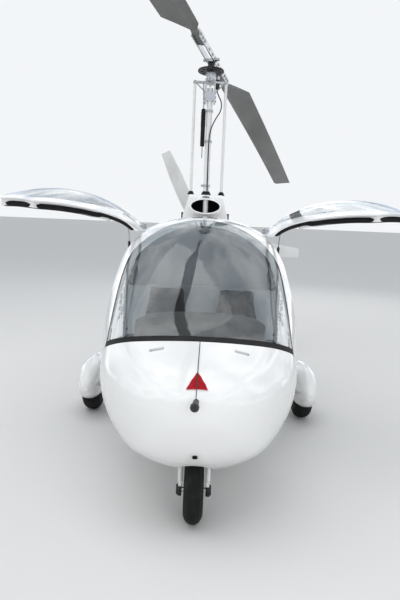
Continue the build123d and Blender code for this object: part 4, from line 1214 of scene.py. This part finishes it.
# Rubber boots where the mast and the pushrods leave the roof
roof_boots = bmesh.new()
for x, y, radius in ((0, 0, 0.0226), (-0.118, 0.045, 0.0112), (0.118, 0.045, 0.0112)):
    profile = []
    for k in range(4):
        wide = 0.016 - 0.003 * k
        profile += [(0.006 * k, radius + wide), (0.006 * k + 0.004, radius + wide)]
    profile += [(0.028, radius + 0.002), (0.028, radius), (0.0, radius)]
    put(roof_boots, spun(profile), at((x, y, 1.699)))
finish("roof_boots", roof_boots, seal_rubber, angle=25)

# Wheels
# Ribbed treads, six bolts and a valve on each rim, nuts on the axles, and black clamps on the fork's ends.
RIB_COUNT = 5
CHORD_SHARE = 0.86
CROWN_DROP = 0.028
BOLT_CIRCLE = 0.052
# Outline of one rib: share of its width, height over the tyre
RIB_SECTION = (
    (0, -0.002), (0, 0.0004), (0.12, 0.0014), (0.5, 0.0015), (0.88, 0.0014), (1, 0.0004), (1, -0.002)
)


def tread(name, wheel, body):
    """A tyre's ribs, and its rim's bolts and valve; wheel is (half width, radius, x, y)."""
    half, radius, x0, y0 = wheel
    chord = half * CHORD_SHARE
    crown = (chord * chord + CROWN_DROP * CROWN_DROP) / (2 * CROWN_DROP)
    mesh = bmesh.new()
    for k in range(RIB_COUNT):
        low = chord * CHORD_SHARE * (2 * (k + 0.1) / RIB_COUNT - 1)
        high = chord * CHORD_SHARE * (2 * (k + 0.9) / RIB_COUNT - 1)
        outline = []
        for share, lift in RIB_SECTION:
            across = low + (high - low) * share
            outline.append((across, radius - crown + math.sqrt(crown * crown - across * across) + lift))
        put(mesh, spun(outline, 72), aim((x0, y0, radius), (1, 0, 0)))
    for side in (-1, 1):
        bead = radius - 0.050
        ring = [
            (0.0, bead - 0.003), (0.0025, bead - 0.001), (0.0025, bead + 0.001), (0.0, bead + 0.003),
            (-0.004, bead),
        ]
        put(mesh, spun(ring, 64), aim((x0 + side * half * 0.955, y0, radius), (side, 0, 0)))
    finish(name, mesh, tyre_rubber, body, 40)
    fittings = bmesh.new()
    for side in (-1, 1):
        for across, up in circle(BOLT_CIRCLE, 6):
            spot = (x0 + side * half * 0.27, y0 + across, radius + up)
            put(fittings, bolt(0.011, 0.006), aim(spot, (side, 0, 0)))
    put(
        fittings, disc(0.004, 0.022, 0.0015, 14),
        aim((x0 + half * 0.26, y0 + 0.062, radius + 0.018), (1, 0.1, 0)),
    )
    finish(f"{name}_bolts", fittings, bright_steel, body)


FORK_Y = -1.890
tread("nose_tread", (0.050, 0.170, 0.0, FORK_Y), "nose_wheel")
tread("left_tread", (0.070, 0.190, 0.818, -0.110), "wheel_left")
tread("right_tread", (0.070, 0.190, -0.818, -0.110), "wheel_right")

fork_clamps = bmesh.new()
fork_nuts = bmesh.new()
for side in (-1, 1):
    x = side * 0.071
    put(fork_clamps, box((0.021, 0.042, 0.052), 0.004), at((x + side * 0.001, FORK_Y, 0.168)))
    put(fork_clamps, disc(0.0265, 0.0145, 0.003, 32), aim((x + side * 0.004, FORK_Y, 0.170), (side, 0, 0)))
    put(fork_nuts, bolt(0.011, 0.006), aim((x + side * 0.0122, FORK_Y, 0.186), (side, 0, 0)))
    put(fork_nuts, disc(0.0185, 0.0035, 0.001, 6), aim((side * 0.0860, FORK_Y, 0.170), (side, 0, 0)))
finish("fork_clamps", fork_clamps, black_steel, "nose_steer")
finish("fork_nuts", fork_nuts, bright_steel, "nose_steer")

# Engine fittings
# Plug caps, bolts on the cylinder heads, oil filter, gearbox bolts and coolant hoses.
CYLINDER_Z = 1.225
GEARBOX_Z = 1.289
PROPELLER_Z = 1.299
plug_caps = bmesh.new()
for y, side in ((0.280, -1), (0.330, 1), (0.440, -1), (0.490, 1)):
    for shift in (-0.028, 0.028):
        foot = Vector((side * 0.2755, y + shift, CYLINDER_Z + 0.026))
        put(plug_caps, disc(0.0105, 0.020, 0.003, 20), aim(foot, (side, 0, 0.25)))
        put(
            plug_caps, disc(0.0085, 0.030, 0.003, 20),
            aim(foot + Vector((side * 0.018, 0, 0.004)), (side * 0.7, 0, 0.7)),
        )
    for z in (-0.045, 0.045):
        for shift in (-0.046, 0.046):
            put(
                plug_caps, bolt(0.011, 0.006), aim((side * 0.2752, y + shift, CYLINDER_Z + z), (side, 0, 0))
            )
finish("plug_caps", plug_caps, black_moulding)
engine_bits = bmesh.new()
put(engine_bits, disc(0.038, 0.085, 0.008, 40), aim((-0.05, 0.300, 1.141), (0, -0.15, -1)))
put(engine_bits, box((0.120, 0.090, 0.040), 0.006), at((0.0, 0.330, 1.340)))
finish("oil_filter", engine_bits, black_moulding)
gear_bolts = bmesh.new()
for across, up in circle(0.092, 8, math.pi / 8):
    put(gear_bolts, bolt(0.013, 0.007), aim((across, 0.6602, GEARBOX_Z + up), (0, 1, 0)))
finish("gearbox_bolts", gear_bolts, bright_steel, "airframe")
# Hoses: name, side, y of the end at its cylinder, length
for label, side, end_y, length in (("right", -1, 0.222, 0.22), ("left", 1, 0.272, 0.253)):
    free_cord(
        f"coolant_hose_{label}",
        [
            (side * 0.100, 0.172, 1.334), (side * 0.098, 0.174, 1.300), (side * 0.120, 0.190, 1.262),
            (side * 0.190, 0.205, 1.262), (side * 0.238, 0.215, 1.252), (side * 0.246, 0.235, 1.240),
            (side * 0.246, end_y, 1.240),
        ],
        0.026, seal_rubber,
    )

# Bolts and nut on the propeller's hub
prop_bolts = bmesh.new()
for across, up in circle(0.047, 6, 0.3):
    put(prop_bolts, bolt(0.013, 0.007), aim((across, 0.7952, PROPELLER_Z + up), (0, 1, 0)))
put(prop_bolts, bolt(0.030, 0.012), aim((0, 0.8122, PROPELLER_Z), (0, 1, 0)))
finish("prop_bolts", prop_bolts, bright_steel, "propeller")

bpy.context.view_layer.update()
